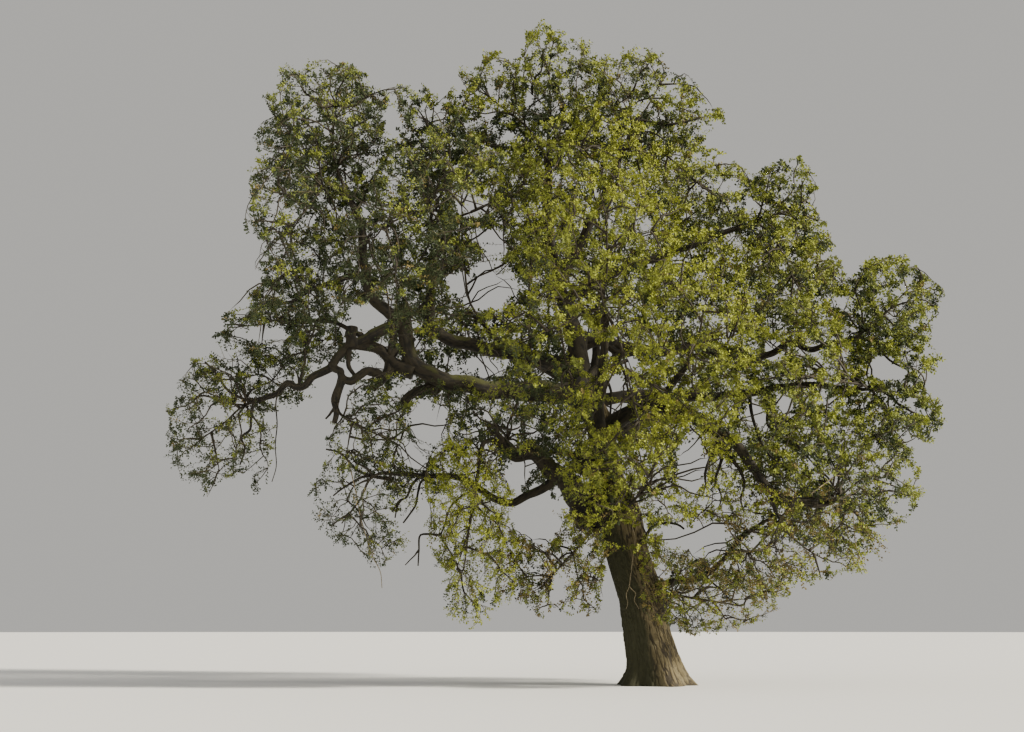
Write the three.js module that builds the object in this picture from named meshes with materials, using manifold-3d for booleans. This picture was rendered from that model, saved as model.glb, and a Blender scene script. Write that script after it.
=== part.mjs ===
// Old valley oak in spring leaf: a leaning trunk with a root flare, crooked boughs, and masses of foliage.
// Millimetres, +Z up, the origin at the middle of the flat cut under the trunk. The broad side faces -Y.
import * as THREE from 'three';
import { mergeVertices } from 'three/addons/utils/BufferGeometryUtils.js';
import Module from 'manifold-3d';

const wasm = await Module();
wasm.setup();

// Clearances
const GAP = 0.3; // between a limb and what it stands on
const STEM_GAP = 1; // between two stems that leave one tip
const SPACE_MARGIN = 60; // between a mass and the plane that parts it from its neighbour
const LIMB_MARGIN = 70; // between a twig or leaf and a limb that it passes
const BEAD_STEP = 150; // between the places along a limb that twigs and leaves are kept off
const LIMB_GIRTH = 1.15; // allows for a limb's corners and crook
const NEAR_SHELL = 1.4; // limbs within this many half sizes of a mass's middle are kept clear of
const WELD = 0.001;

// Trunk: radius of the shaft, the flare of its roots and the swelling where it forks
const TRUNK_SIDES = 16;
const TRUNK_STEPS = 14;
const SHAFT_RADIUS = 640;
const TRUNK_TIP_RADIUS = 400;
const SHAFT_TAPERS = [4600, 7400]; // heights between which it narrows to its tip
const FORK_HEIGHT = 4900;
const FORK_SWELL = 110;
const FORK_SPREAD = 700;
const FLARE = 430;
const FLARE_HEIGHT = 620;
const ROOT_RIDGES = 5;
const ROOT_RIDGE_DEPTH = 0.34;

// Boughs: the crook of old oak wood, as a share of the limb's radius
const CROOK = 0.55;
const BOUGH_SIDES = 6;
const BOUGH_STEP = 1500;

// Masses: how stem, twigs and leaves share a mass's space
const STEM_SHARE = 0.62; // of the bough tip's radius
const SHARED_STEM_SHARE = 0.45; // where several stems leave one tip
const TRUNK_STEM_RADIUS = 75; // where a mass grows straight from the trunk
const STEM_END_RADIUS = 32;
const STEM_SIDES = 3;
const STEM_STEPS = 3;
const BARE_STEM = 650; // the least length at its foot where a stem has no twigs
const STEM_BARE_FOOT = 0.3; // and the least share of it
const STEM_BARE_END = 0.03;
const STEM_PULL = 0.38; // how far it keeps its bough's heading, as a share of its run
const STEM_ARCH = 0.06; // how far it rises over its run
const STEM_REACH = 0.4; // how far past the centre the stem runs, as a share of the radii
const TWIG_RADIUS = 45;
const TWIG_TIP_RADIUS = 30;
const TWIG_REACH = 0.58; // of the way from the centre to the shell
const AREA_PER_TWIG = 3e6; // square millimetres of the mass's mean section for each twig
const TWIG_SCATTER = 0.2; // of the mass's half width
const TWIG_FORE = 0.12; // how far below the nearest place on the stem a twig leaves it
const MIN_TWIGS = 3;
const MAX_TWIGS = 4;
const TWIG_PLACES = [0.08, 0.2, 0.35, 0.5, 0.65, 0.8, 0.9, 1]; // tested along each twig
const SIDE_LEAVES = 2; // beside the one that ends each twig
const LEAF_WIDTH = 0.78; // of its length
const LEAF_THICKNESS = 0.06;
const LEAF_LIFT = 0.35; // how much a side leaf turns outwards
const SIDE_LEAF_STEP = 0.22; // along the twig, from one side leaf to the next
const LEAF_LENGTH = 1600;
const LEAF_ROOT = 8; // how far its foot is sunk past the twig's middle
const LEAF_SPACING = 110; // between the leaves of a mass, away from their feet
const FOOT_PLACES = 12; // of a leaf's places, the ones near its foot, where leaves may meet
const RING_LEAN = 1.65; // radians between a mass's outward twig and the others
const RING_SWAY = 0.3;
const CROWN_MIDDLE = [-1500, 0, 9500];
const SEED = 20;

const BARK = { color: 0x6b5c4c, roughness: 0.95, metalness: 0 };
const LIMB_BARK = { color: 0x574b3f, roughness: 0.95, metalness: 0 };
const LEAF_COLOURS = { bright: 0x8f9434, olive: 0x6d7630, shade: 0x4b5428, brown: 0x6f6238 };

const TRUNK_ROUTE = [
  [0, 0, 0], [-80, 0, 600], [-250, 0, 1450], [-400, 50, 2550], [-650, 100, 3400], [-850, 100, 4100],
  [-1050, 100, 4900], [-1300, 100, 5750], [-1450, 200, 6800], [-1550, 300, 7750], [-1900, 300, 8400],
  [-2350, 300, 8800],
];

// Each bough: the radii of its foot and tip, and the places it passes through. It starts inside the limb
// that it grows from.
const BOUGHS = [
  { name: 'leader', radii: [360, 120], route: [
    [-2200, 300, 8550], [-2100, 600, 9550], [-2350, 800, 10950], [-2850, 1000, 12400], [-3100, 1000, 14250],
    [-3050, 800, 16200]] },
  { name: 'left_great_bough', radii: [400, 160], route: [
    [-1200, 100, 5200], [-1950, -300, 5150], [-2800, -600, 5550], [-3550, -800, 6000], [-4150, -1000, 6650],
    [-4550, -1100, 7050]] },
  { name: 'lower_left_bough', radii: [310, 220], route: [
    [-2150, 300, 8700], [-3350, -100, 8700], [-4900, -600, 8600], [-6050, -900, 8750], [-7000, -1000, 9200],
    [-7350, -1000, 9950], [-7450, -900, 10750]] },
  { name: 'upper_left_bough', radii: [270, 180], route: [
    [-2200, 600, 9450], [-3650, 1200, 10050], [-4900, 1400, 10400], [-6000, 1300, 10550],
    [-7000, 1000, 10950]] },
  { name: 'right_heavy_bough', radii: [280, 100], route: [
    [-1550, 300, 7400], [-600, -300, 8100], [200, -800, 8200], [1150, -1200, 7700], [1750, -1400, 7200],
    [2350, -1600, 6800], [2750, -1700, 6150], [3350, -1700, 5500], [4450, -1500, 5150]] },
  { name: 'right_mid_bough', radii: [200, 80], route: [
    [-1850, 400, 8450], [-250, 1000, 8800], [1350, 1400, 8800], [3200, 1200, 8900], [4700, 800, 9050],
    [6400, 400, 8850]] },
  { name: 'right_upper_bough', radii: [200, 80], route: [
    [-2300, 800, 10650], [-500, 1400, 10350], [1750, 1600, 10300], [3900, 1200, 10200], [5500, 600, 10150],
    [6200, 300, 10350]] },
  { name: 'front_bough', radii: [250, 100], route: [
    [-1450, 200, 6650], [-1600, -1200, 7100], [-1700, -2400, 8100], [-1650, -3200, 9250],
    [-1600, -3600, 10150]] },
  { name: 'back_bough', radii: [270, 110], route: [
    [-1450, 300, 6800], [-1450, 1800, 7950], [-1450, 3200, 9800], [-1300, 4400, 11900]] },
  { name: 'low_right_bough', radii: [120, 55], route: [
    [-400, 100, 2700], [500, -300, 3000], [1300, -700, 3100], [1850, -900, 3500], [2400, -1100, 4150],
    [3100, -1300, 4700]] },
  { name: 'low_left_bough', radii: [140, 60], route: [
    [-3150, -700, 5750], [-4200, -400, 5300], [-5000, -300, 5550], [-5700, -600, 6000],
    [-6750, -1200, 6050], [-7850, -1800, 6050]] },
  { name: 'left_rising_limb', radii: [170, 90], route: [
    [-6850, 1000, 10900], [-6800, 1000, 12150], [-6600, 800, 13050], [-6250, 400, 13850]] },
  { name: 'left_column_limb', radii: [190, 90], route: [
    [-7450, -900, 10550], [-8400, -1300, 11400], [-8600, -1400, 12400], [-8800, -1200, 13600],
    [-9400, -900, 14900]] },
  { name: 'far_left_limb', radii: [190, 70], route: [
    [-7450, -900, 10750], [-8350, -1200, 10350], [-9000, -1400, 9950], [-9450, -1500, 9500],
    [-9950, -1500, 8800], [-10400, -1400, 8500], [-11050, -1200, 8550], [-11650, -1000, 8350]] },
  { name: 'loop_limb', radii: [130, 60], route: [
    [-7150, -1000, 9500], [-7900, -1150, 8950], [-8450, -1500, 9050], [-8750, -1800, 8850],
    [-9150, -1900, 8750], [-9300, -1900, 8100]] },
  { name: 'left_lobe_limb', radii: [80, 50], route: [
    [-8700, -1300, 10200], [-9600, -400, 10750], [-10400, 300, 11000], [-11150, 600, 11050]] },
  { name: 'upper_right_limb', radii: [200, 90], route: [
    [-2800, 1000, 12350], [-1900, 600, 13800], [-1200, 200, 15350], [-750, 0, 16450]] },
  { name: 'right_shoulder_limb', radii: [170, 80], route: [
    [-2600, 1000, 11800], [-850, 600, 12700], [1350, 300, 13400], [3050, 100, 14000]] },
  { name: 'front_right_limb', radii: [160, 70], route: [
    [-100, -700, 8250], [400, -2000, 8600], [750, -3200, 8950]] },
  { name: 'back_left_limb', radii: [180, 80], route: [
    [-1450, 2600, 9000], [-2800, 3600, 9850], [-4450, 4000, 10950], [-5300, 4200, 11850]] },
  { name: 'back_right_limb', radii: [200, 80], route: [
    [-1500, 1300, 7400], [400, 3000, 8450], [2250, 4200, 9800], [3000, 4500, 10900]] },
];

// Each mass: the limb whose tip carries it, the middle and half sizes of its space, and its tint.
// A mass that grows straight from the trunk gives the height where it does instead.
const MASSES = [
  { name: 'far_left', on: 'far_left_limb', tint: 'shade',
    centre: [-13250, -800, 7350], radii: [1450, 2000, 2100] },
  { name: 'left_shelf', on: 'far_left_limb', tint: 'olive',
    centre: [-12650, 1300, 9350], radii: [1750, 1700, 900] },
  { name: 'left_lobe', on: 'left_lobe_limb', tint: 'olive',
    centre: [-12300, 800, 10950], radii: [1400, 1600, 1050] },
  { name: 'left_side', on: 'left_column_limb', tint: 'olive',
    centre: [-11000, -1400, 13400], radii: [1450, 2200, 2250] },
  { name: 'top_left', on: 'left_column_limb', tint: 'olive',
    centre: [-10050, -500, 17450], radii: [2050, 2200, 1650] },
  { name: 'left_spire', on: 'left_rising_limb', tint: 'olive',
    centre: [-6900, 300, 17250], radii: [1200, 1500, 1500] },
  { name: 'left_front', on: 'left_rising_limb', tint: 'olive',
    centre: [-7600, -2900, 13250], radii: [1850, 2000, 1800] },
  { name: 'left_middle', on: 'left_rising_limb', tint: 'bright',
    centre: [-4850, -500, 14450], radii: [1600, 2200, 2100] },
  { name: 'top_shoulder', on: 'leader', tint: 'olive',
    centre: [-5000, 500, 18250], radii: [1200, 1700, 1700] },
  { name: 'top', on: 'leader', tint: 'bright',
    centre: [-3000, 800, 18900], radii: [1650, 2200, 2100] },
  { name: 'upper_front', on: 'leader', tint: 'bright',
    centre: [-1900, -2600, 15500], radii: [1700, 1700, 1450] },
  { name: 'top_right', on: 'upper_right_limb', tint: 'bright',
    centre: [300, 0, 18300], radii: [2050, 2100, 1700] },
  { name: 'upper_right', on: 'upper_right_limb', tint: 'bright',
    centre: [1700, -800, 14750], radii: [1600, 2200, 1500] },
  { name: 'right_shoulder', on: 'right_shoulder_limb', tint: 'bright',
    centre: [4400, 0, 14450], radii: [1350, 1900, 1650] },
  { name: 'right_front', on: 'right_shoulder_limb', tint: 'bright',
    centre: [4300, -1000, 11700], radii: [1700, 2200, 1450] },
  { name: 'far_right_upper', on: 'right_upper_bough', tint: 'bright',
    centre: [7700, 200, 11650], radii: [1550, 1900, 1500] },
  { name: 'far_right', on: 'right_mid_bough', tint: 'bright',
    centre: [7750, 300, 8650], radii: [1450, 1900, 1700] },
  { name: 'right_inner', on: 'right_mid_bough', tint: 'olive',
    centre: [4450, -2200, 8750], radii: [1500, 1600, 1400] },
  { name: 'right_lower', on: 'right_heavy_bough', tint: 'olive',
    centre: [6400, -300, 5950], radii: [1850, 2100, 1450] },
  { name: 'right_skirt', on: 'low_right_bough', tint: 'brown',
    centre: [3900, -1500, 3900], radii: [2800, 1800, 1100] },
  { name: 'low_right', height: 2600, tint: 'brown',
    centre: [1550, -1200, 2350], radii: [1750, 1300, 900] },
  { name: 'front_low', height: 4900, tint: 'bright',
    centre: [-400, -3200, 5750], radii: [1350, 1600, 1600] },
  { name: 'centre_right', on: 'front_right_limb', tint: 'bright',
    centre: [950, -4400, 9850], radii: [1700, 2000, 2150] },
  { name: 'centre_front', on: 'front_bough', tint: 'bright',
    centre: [-1600, -4600, 12200], radii: [1900, 2200, 2250] },
  { name: 'front_left', on: 'front_bough', tint: 'olive',
    centre: [-3450, -4400, 9550], radii: [1500, 1900, 1850] },
  { name: 'front_heart', on: 'front_bough', tint: 'bright',
    centre: [-900, -4300, 7750], radii: [1250, 1600, 1500] },
  { name: 'left_hanging', on: 'left_great_bough', tint: 'bright',
    centre: [-5450, -2600, 4100], radii: [1100, 1300, 2500] },
  { name: 'left_inner', on: 'left_great_bough', tint: 'shade',
    centre: [-4650, -1900, 7350], radii: [1300, 1600, 1050] },
  { name: 'fork_hanging', height: 4700, tint: 'brown',
    centre: [-3050, -1200, 3050], radii: [1250, 1100, 1150] },
  { name: 'low_left', on: 'low_left_bough', tint: 'shade',
    centre: [-8700, -2200, 5000], radii: [1350, 1700, 1500] },
  { name: 'under_bough', on: 'loop_limb', tint: 'shade',
    centre: [-8100, -1000, 7200], radii: [1700, 1600, 950] },
  { name: 'back_left', on: 'back_left_limb', tint: 'shade',
    centre: [-7050, 5400, 11800], radii: [2900, 2600, 2550] },
  { name: 'back_upper_left', on: 'back_left_limb', tint: 'olive',
    centre: [-5850, 4400, 15700], radii: [2700, 2400, 2400] },
  { name: 'back_top', on: 'back_bough', tint: 'olive',
    centre: [-1150, 4600, 16600], radii: [2800, 2400, 2500] },
  { name: 'back_middle', on: 'back_bough', tint: 'shade',
    centre: [-1350, 7700, 12700], radii: [3300, 2600, 3000] },
  { name: 'back_right', on: 'back_right_limb', tint: 'olive',
    centre: [3800, 4800, 13300], radii: [2900, 2500, 2550] },
  { name: 'back_low_right', on: 'back_right_limb', tint: 'olive',
    centre: [3500, 6000, 9000], radii: [3000, 2500, 2200] },
  { name: 'back_low', on: 'back_bough', tint: 'shade',
    centre: [-1400, 7200, 8300], radii: [2900, 2300, 2000] },
];

// Small helpers

function vector(place) {
  return new THREE.Vector3(...place);
}

function seededRandom(seed) {
  let state = seed >>> 0;
  return () => {
    state = (state + 0x6d2b79f5) >>> 0;
    let mixed = Math.imul(state ^ (state >>> 15), 1 | state);
    mixed = (mixed + Math.imul(mixed ^ (mixed >>> 7), 61 | mixed)) ^ mixed;
    return ((mixed ^ (mixed >>> 14)) >>> 0) / 4294967296;
  };
}

function solidOf(geometry) {
  geometry.deleteAttribute('normal');
  geometry.deleteAttribute('uv');
  const merged = mergeVertices(geometry, WELD);
  return new wasm.Manifold(new wasm.Mesh({
    numProp: 3,
    vertProperties: new Float32Array(merged.attributes.position.array),
    triVerts: Uint32Array.from(merged.index.array),
  }));
}

function largestBody(solid) {
  const bodies = solid.decompose();
  bodies.sort((a, b) => b.volume() - a.volume());
  return bodies[0];
}

function meshOf(name, solid, finish) {
  const { vertProperties, triVerts, numProp } = solid.getMesh();
  const geometry = new THREE.BufferGeometry();
  const places = new Float32Array((vertProperties.length / numProp) * 3);
  for (let i = 0; i < places.length / 3; i += 1) {
    places.set(vertProperties.subarray(i * numProp, i * numProp + 3), i * 3);
  }
  geometry.setAttribute('position', new THREE.BufferAttribute(places, 3));
  geometry.setIndex(new THREE.BufferAttribute(triVerts, 1));
  geometry.computeVertexNormals();
  const mesh = new THREE.Mesh(geometry, new THREE.MeshStandardMaterial({ ...finish, flatShading: true }));
  mesh.name = name;
  return mesh;
}

// A limb is a cylinder bent along a smooth curve. Its radius changes along it and, on the trunk, around it.
// crook is how far it swings to either side of the curve, and grow makes it larger all over.
function bentCylinder({ curve, radiusAt, sides, steps, crook = 0, phase = 0, grow = 0, flatFoot = false }) {
  const shape = new THREE.CylinderGeometry(1, 1, 1, sides, steps);
  const frames = curve.computeFrenetFrames(steps, false);
  const places = shape.attributes.position;
  for (let i = 0; i < places.count; i += 1) {
    const along = places.getY(i) + 0.5;
    const ring = Math.round(along * steps);
    const aside = frames.binormals[ring];
    const across = frames.normals[ring];
    const swing = crook * Math.sin(Math.PI * along);
    const middle = curve.getPointAt(along)
      .addScaledVector(aside, swing * Math.sin(7 * along + phase))
      .addScaledVector(across, swing * Math.cos(5 * along + 2 * phase));
    const spoke = new THREE.Vector3()
      .addScaledVector(aside, places.getX(i))
      .addScaledVector(across, places.getZ(i));
    const angle = Math.atan2(spoke.y, spoke.x);
    const end = along === 0 ? -grow : (along === 1 ? grow : 0);
    middle.addScaledVector(spoke, radiusAt(along, angle, middle.z) + grow);
    middle.addScaledVector(frames.tangents[ring], end);
    if (flatFoot && ring === 0) {
      middle.z = -grow;
    }
    places.setXYZ(i, middle.x, middle.y, middle.z);
  }
  return solidOf(shape);
}

// The trunk

const trunkCurve = new THREE.CatmullRomCurve3(TRUNK_ROUTE.map(vector));

function trunkRadius(along, angle, height) {
  const narrowing = THREE.MathUtils.smoothstep(height, ...SHAFT_TAPERS);
  const shaft = THREE.MathUtils.lerp(SHAFT_RADIUS, TRUNK_TIP_RADIUS, narrowing);
  const swell = FORK_SWELL * Math.exp(-(((height - FORK_HEIGHT) / FORK_SPREAD) ** 2));
  const flare = FLARE * Math.exp(-Math.max(height, 0) / FLARE_HEIGHT);
  const ridge = 1 + ROOT_RIDGE_DEPTH * Math.cos(ROOT_RIDGES * angle + 0.6 * Math.sin(2 * angle));
  return shaft + swell + flare * ridge;
}

function trunkSolid(grow = 0) {
  return bentCylinder({
    curve: trunkCurve, radiusAt: trunkRadius, sides: TRUNK_SIDES, steps: TRUNK_STEPS, grow, flatFoot: true,
  });
}

// The boughs

const limbs = [{ name: 'trunk', curve: trunkCurve, radii: [SHAFT_RADIUS + FORK_SWELL, TRUNK_TIP_RADIUS] }];

function boughSpec({ name, radii, route }, index) {
  const curve = new THREE.CatmullRomCurve3(route.map(vector));
  const [foot, tip] = radii;
  return {
    name,
    curve,
    radii,
    sides: BOUGH_SIDES,
    steps: Math.max(4, Math.round(curve.getLength() / BOUGH_STEP) + 2),
    radiusAt: (along) => THREE.MathUtils.lerp(foot, tip, along ** 0.8),
    crook: CROOK * tip,
    phase: index * 1.7,
  };
}

// Each bough is cut clear of the trunk and of the boughs before it, so its foot fits what it stands on.
function growBoughs() {
  const grown = new Map([['trunk', trunkSolid(GAP)]]);
  const solids = new Map([['trunk', trunkSolid()]]);
  BOUGHS.map(boughSpec).forEach((bough) => {
    let solid = bentCylinder(bough);
    grown.forEach((earlier) => {
      solid = solid.subtract(earlier);
    });
    solids.set(bough.name, largestBody(solid));
    grown.set(bough.name, bentCylinder({ ...bough, grow: GAP }));
    limbs.push(bough);
  });
  return { solids, grown };
}

// The masses

// The plane that parts two masses leans with their half sizes, and shares the room by their reach.
function partingPlanes(mass) {
  return MASSES.filter((other) => other !== mass).map((other) => {
    const between = vector(other.centre).sub(vector(mass.centre));
    const normal = new THREE.Vector3(...['x', 'y', 'z'].map((axis, i) => (
      between[axis] / (mass.radii[i] ** 2 + other.radii[i] ** 2)
    ))).normalize();
    const reach = (radii) => Math.hypot(...radii.map((radius, i) => radius * normal.getComponent(i)));
    const share = reach(mass.radii) / (reach(mass.radii) + reach(other.radii));
    return { normal, limit: normal.dot(between) * share - SPACE_MARGIN };
  });
}

function shellShare(mass, place) {
  return Math.hypot(...mass.radii.map((radius, i) => (place.getComponent(i) - mass.centre[i]) / radius));
}

function isInSpace(mass, place) {
  const fromCentre = place.clone().sub(vector(mass.centre));
  return shellShare(mass, place) <= 1.001
    && mass.planes.every(({ normal, limit }) => normal.dot(fromCentre) <= limit);
}

// Points along every limb and stem, with the radius there, for keeping twigs and leaves off them
function beads(curve, radiusAt, owner) {
  const count = Math.ceil(curve.getLength() / BEAD_STEP);
  return Array.from({ length: count + 1 }, (_, i) => (
    { place: curve.getPointAt(i / count), radius: radiusAt(i / count), owner }
  ));
}

function isClearOfLimbs(points, obstacles) {
  return obstacles.every((bead) => (
    points.every((point) => point.distanceTo(bead.place) > bead.radius + LIMB_MARGIN)
  ));
}

function stemOf(mass, index) {
  const centre = vector(mass.centre);
  const carrier = limbs.find(({ name }) => name === mass.on);
  let foot;
  let heading;
  let radius;
  if (carrier) {
    heading = carrier.curve.getTangentAt(1);
    foot = carrier.curve.getPointAt(1).addScaledVector(heading, GAP);
    const sharers = MASSES.filter(({ on }) => on === mass.on).length;
    radius = carrier.radii[1] * (sharers > 1 ? SHARED_STEM_SHARE : STEM_SHARE);
    if (sharers > 1) {
      const aside = centre.clone().sub(foot);
      aside.addScaledVector(heading, -aside.dot(heading)).normalize();
      foot.addScaledVector(aside, carrier.radii[1] * (1 - SHARED_STEM_SHARE));
    }
  } else {
    const along = trunkAlong(mass.height);
    foot = trunkCurve.getPointAt(along);
    heading = centre.clone().sub(foot).setZ(0).normalize();
    radius = TRUNK_STEM_RADIUS;
  }
  const run = foot.distanceTo(centre);
  const beyond = centre.clone().sub(foot).normalize()
    .multiply(vector(mass.radii)).multiplyScalar(STEM_REACH);
  const curve = new THREE.CubicBezierCurve3(
    foot,
    foot.clone().addScaledVector(heading, run * STEM_PULL),
    centre.clone().lerp(foot, 0.25).add(new THREE.Vector3(0, 0, run * STEM_ARCH)),
    centre.clone().add(beyond),
  );
  const radiusAt = (along) => THREE.MathUtils.lerp(radius, STEM_END_RADIUS, along ** 0.7);
  return { curve, radiusAt, sides: STEM_SIDES, steps: STEM_STEPS, phase: index, crook: 0 };
}

function trunkAlong(height) {
  let along = 0;
  while (trunkCurve.getPointAt(along).z < height) {
    along += 0.005;
  }
  return along;
}

// The first twig runs straight out of the crown, and the others lean away from it in an even ring.
function twigDirection(outward, k, count, turn) {
  if (k === 0) {
    return outward.clone();
  }
  const aside = new THREE.Vector3(-outward.y, outward.x, 0.2).normalize();
  const lean = RING_LEAN + (k % 2 ? -RING_SWAY : RING_SWAY);
  const axis = new THREE.Vector3().crossVectors(outward, aside).normalize();
  return outward.clone().applyAxisAngle(axis, lean)
    .applyAxisAngle(outward, turn + (k * 2 * Math.PI) / (count - 1));
}

function nearestAlong(curve, target) {
  let best = 0;
  for (let along = 0; along <= 1; along += 0.02) {
    if (curve.getPointAt(along).distanceTo(target) < curve.getPointAt(best).distanceTo(target)) {
      best = along;
    }
  }
  return best;
}

// A leaf is an octahedron drawn out along its length, flat across its thickness.
// Places spread over it are returned too, all but its foot, which have to stay inside the mass.
function leaf(root, heading, face, length) {
  const side = new THREE.Vector3().crossVectors(face, heading).normalize();
  const flat = new THREE.Vector3().crossVectors(heading, side).normalize();
  const middle = root.clone().addScaledVector(heading, length / 2 - LEAF_ROOT);
  const frame = new THREE.Matrix4().makeBasis(
    heading.clone().multiplyScalar(length / 2),
    side.clone().multiplyScalar((length * LEAF_WIDTH) / 2),
    flat.clone().multiplyScalar((length * LEAF_THICKNESS) / 2),
  ).setPosition(middle);
  const shape = new THREE.OctahedronGeometry(1, 0);
  shape.applyMatrix4(frame);
  const places = [];
  for (let run = -0.8; run <= 1.001; run += 0.2) {
    const across = 1 - Math.abs(run);
    [[1, 0], [0.5, 0], [0, 1], [0, -1], [-0.5, 0], [-1, 0]].forEach(([wide, thick]) => {
      places.push(new THREE.Vector3(run, wide * across, thick * across).applyMatrix4(frame));
    });
  }
  return { shape, places };
}

// The longest leaf, up to a full one, whose corners all stay in the mass and off the limbs
function fittedLeaf(mass, root, heading, face, obstacles, placed) {
  for (let length = LEAF_LENGTH; length > LEAF_LENGTH * 0.4; length *= 0.93) {
    const tried = leaf(root, heading, face, length);
    const outer = tried.places.slice(FOOT_PLACES);
    const isApart = placed.every((other) => outer.every((own) => own.distanceTo(other) > LEAF_SPACING));
    if (isApart && tried.places.every((place) => isInSpace(mass, place))
      && isClearOfLimbs(tried.places, obstacles)) {
      placed.push(...outer);
      return tried.shape;
    }
  }
  return null;
}

function growMass(mass, index, obstacles) {
  const random = seededRandom(SEED + index);
  const centre = vector(mass.centre);
  const meanSection = Math.PI * (mass.radii[0] * mass.radii[1] * mass.radii[2]) ** (2 / 3);
  const twigCount = THREE.MathUtils.clamp(Math.round(meanSection / AREA_PER_TWIG), MIN_TWIGS, MAX_TWIGS);
  const turn = random() * Math.PI * 2;
  const pieces = [bentCylinder(mass.stem)];
  const placed = [];
  const fromMiddle = centre.clone().sub(vector(CROWN_MIDDLE)).divide(vector(mass.radii)).normalize();
  const stemEnd = mass.stem.curve.getPointAt(1);
  const stemHeading = mass.stem.curve.getTangentAt(1);
  const stemFace = new THREE.Vector3().crossVectors(stemHeading, fromMiddle).normalize();
  const stemLeaf = fittedLeaf(mass, stemEnd, stemHeading, stemFace, obstacles, placed);
  if (stemLeaf) {
    pieces.push(solidOf(stemLeaf));
  }
  for (let k = 0; k < twigCount; k += 1) {
    const out = twigDirection(fromMiddle, k, twigCount, turn);
    const target = centre.clone().add(out.clone().multiply(vector(mass.radii)).multiplyScalar(TWIG_REACH));
    const jitter = new THREE.Vector3(random() - 0.5, random() - 0.5, random() - 0.5);
    target.addScaledVector(jitter, mass.radii[0] * TWIG_SCATTER);
    for (let tries = 0; tries < 8 && !isInSpace(mass, target); tries += 1) {
      target.lerp(centre, 0.15);
    }
    const nearest = nearestAlong(mass.stem.curve, target);
    const lowest = Math.max(STEM_BARE_FOOT, BARE_STEM / mass.stem.curve.getLength());
    const along = THREE.MathUtils.clamp(nearest - TWIG_FORE, lowest, 1 - STEM_BARE_END);
    const foot = mass.stem.curve.getPointAt(along);
    const twig = new THREE.LineCurve3(foot, target);
    const twigPlaces = TWIG_PLACES.map((share) => twig.getPoint(share));
    if (!twigPlaces.every((place) => isInSpace(mass, place)) || !isClearOfLimbs(twigPlaces, obstacles)) {
      continue;
    }
    const radiusAt = (share) => THREE.MathUtils.lerp(TWIG_RADIUS, TWIG_TIP_RADIUS, share);
    pieces.push(bentCylinder({ curve: twig, radiusAt, sides: STEM_SIDES, steps: 1 }));
    const heading = twig.getTangentAt(1);
    const squared = vector(mass.radii).multiply(vector(mass.radii));
    const outward = target.clone().sub(centre).divide(squared).normalize();
    const spin = random() * Math.PI;
    const aside = new THREE.Vector3().crossVectors(outward, heading);
    if (aside.length() < 0.2) {
      aside.crossVectors(outward, new THREE.Vector3(0, 0, 1));
    }
    aside.normalize().applyAxisAngle(outward, spin);
    const endHeading = heading.clone().add(outward).normalize();
    const endFace = new THREE.Vector3().crossVectors(endHeading, aside).normalize();
    const leaves = [fittedLeaf(mass, target, endHeading, endFace, obstacles, placed)];
    for (let n = 0; n < SIDE_LEAVES; n += 1) {
      const place = twig.getPointAt(0.9 - SIDE_LEAF_STEP * n);
      const swing = spin + n * 2.4 + random() * 0.5;
      const leafHeading = new THREE.Vector3().crossVectors(outward, aside)
        .applyAxisAngle(outward, swing).addScaledVector(outward, LEAF_LIFT).normalize();
      leaves.push(fittedLeaf(mass, place, leafHeading, outward, obstacles, placed));
    }
    leaves.filter(Boolean).forEach((shape) => pieces.push(solidOf(shape)));
  }
  return wasm.Manifold.union(pieces);
}

function growMasses(grownLimbs, tree) {
  MASSES.forEach((mass, index) => {
    mass.planes = partingPlanes(mass);
    mass.stem = stemOf(mass, index);
  });
  const obstacles = limbs.flatMap((limb) => (
    beads(limb.curve, (along) => THREE.MathUtils.lerp(...limb.radii, along) * LIMB_GIRTH, limb.name)
  )).concat(MASSES.flatMap((mass) => beads(mass.stem.curve, mass.stem.radiusAt, mass.name)));
  const sharers = [];
  MASSES.forEach((mass, index) => {
    const isNear = (bead) => bead.owner !== mass.name && shellShare(mass, bead.place) < NEAR_SHELL;
    const near = obstacles.filter(isNear);
    let solid = growMass(mass, index, near).subtract(grownLimbs.get(mass.on ?? 'trunk'));
    sharers.filter(({ on }) => on && on === mass.on).forEach((earlier) => {
      solid = solid.subtract(earlier.stem).subtract(earlier.solid);
    });
    sharers.push({ on: mass.on, stem: bentCylinder({ ...mass.stem, grow: STEM_GAP }), solid });
    const finish = { color: LEAF_COLOURS[mass.tint], roughness: 0.8, metalness: 0 };
    tree.add(meshOf(`${mass.name}_leaves`, largestBody(solid), finish));
  });
}

const tree = new THREE.Group();
const { solids: limbSolids, grown: grownLimbs } = growBoughs();
limbSolids.forEach((solid, name) => {
  tree.add(meshOf(name, solid, name === 'trunk' ? BARK : LIMB_BARK));
});
growMasses(grownLimbs, tree);

export default tree;
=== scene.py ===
"""Old valley oak in spring leaf: bark and boughs, twigs and leaves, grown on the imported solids.

Metres, +Z up, the origin at the middle of the flat cut under the trunk. The broad side faces -Y.
Wood is rings of places carried along smooth paths. Each mass grows outwards from its limb: stem, main
twigs, side branches, twigs, shoots, and leaves on the shoots.
"""

import math

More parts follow.
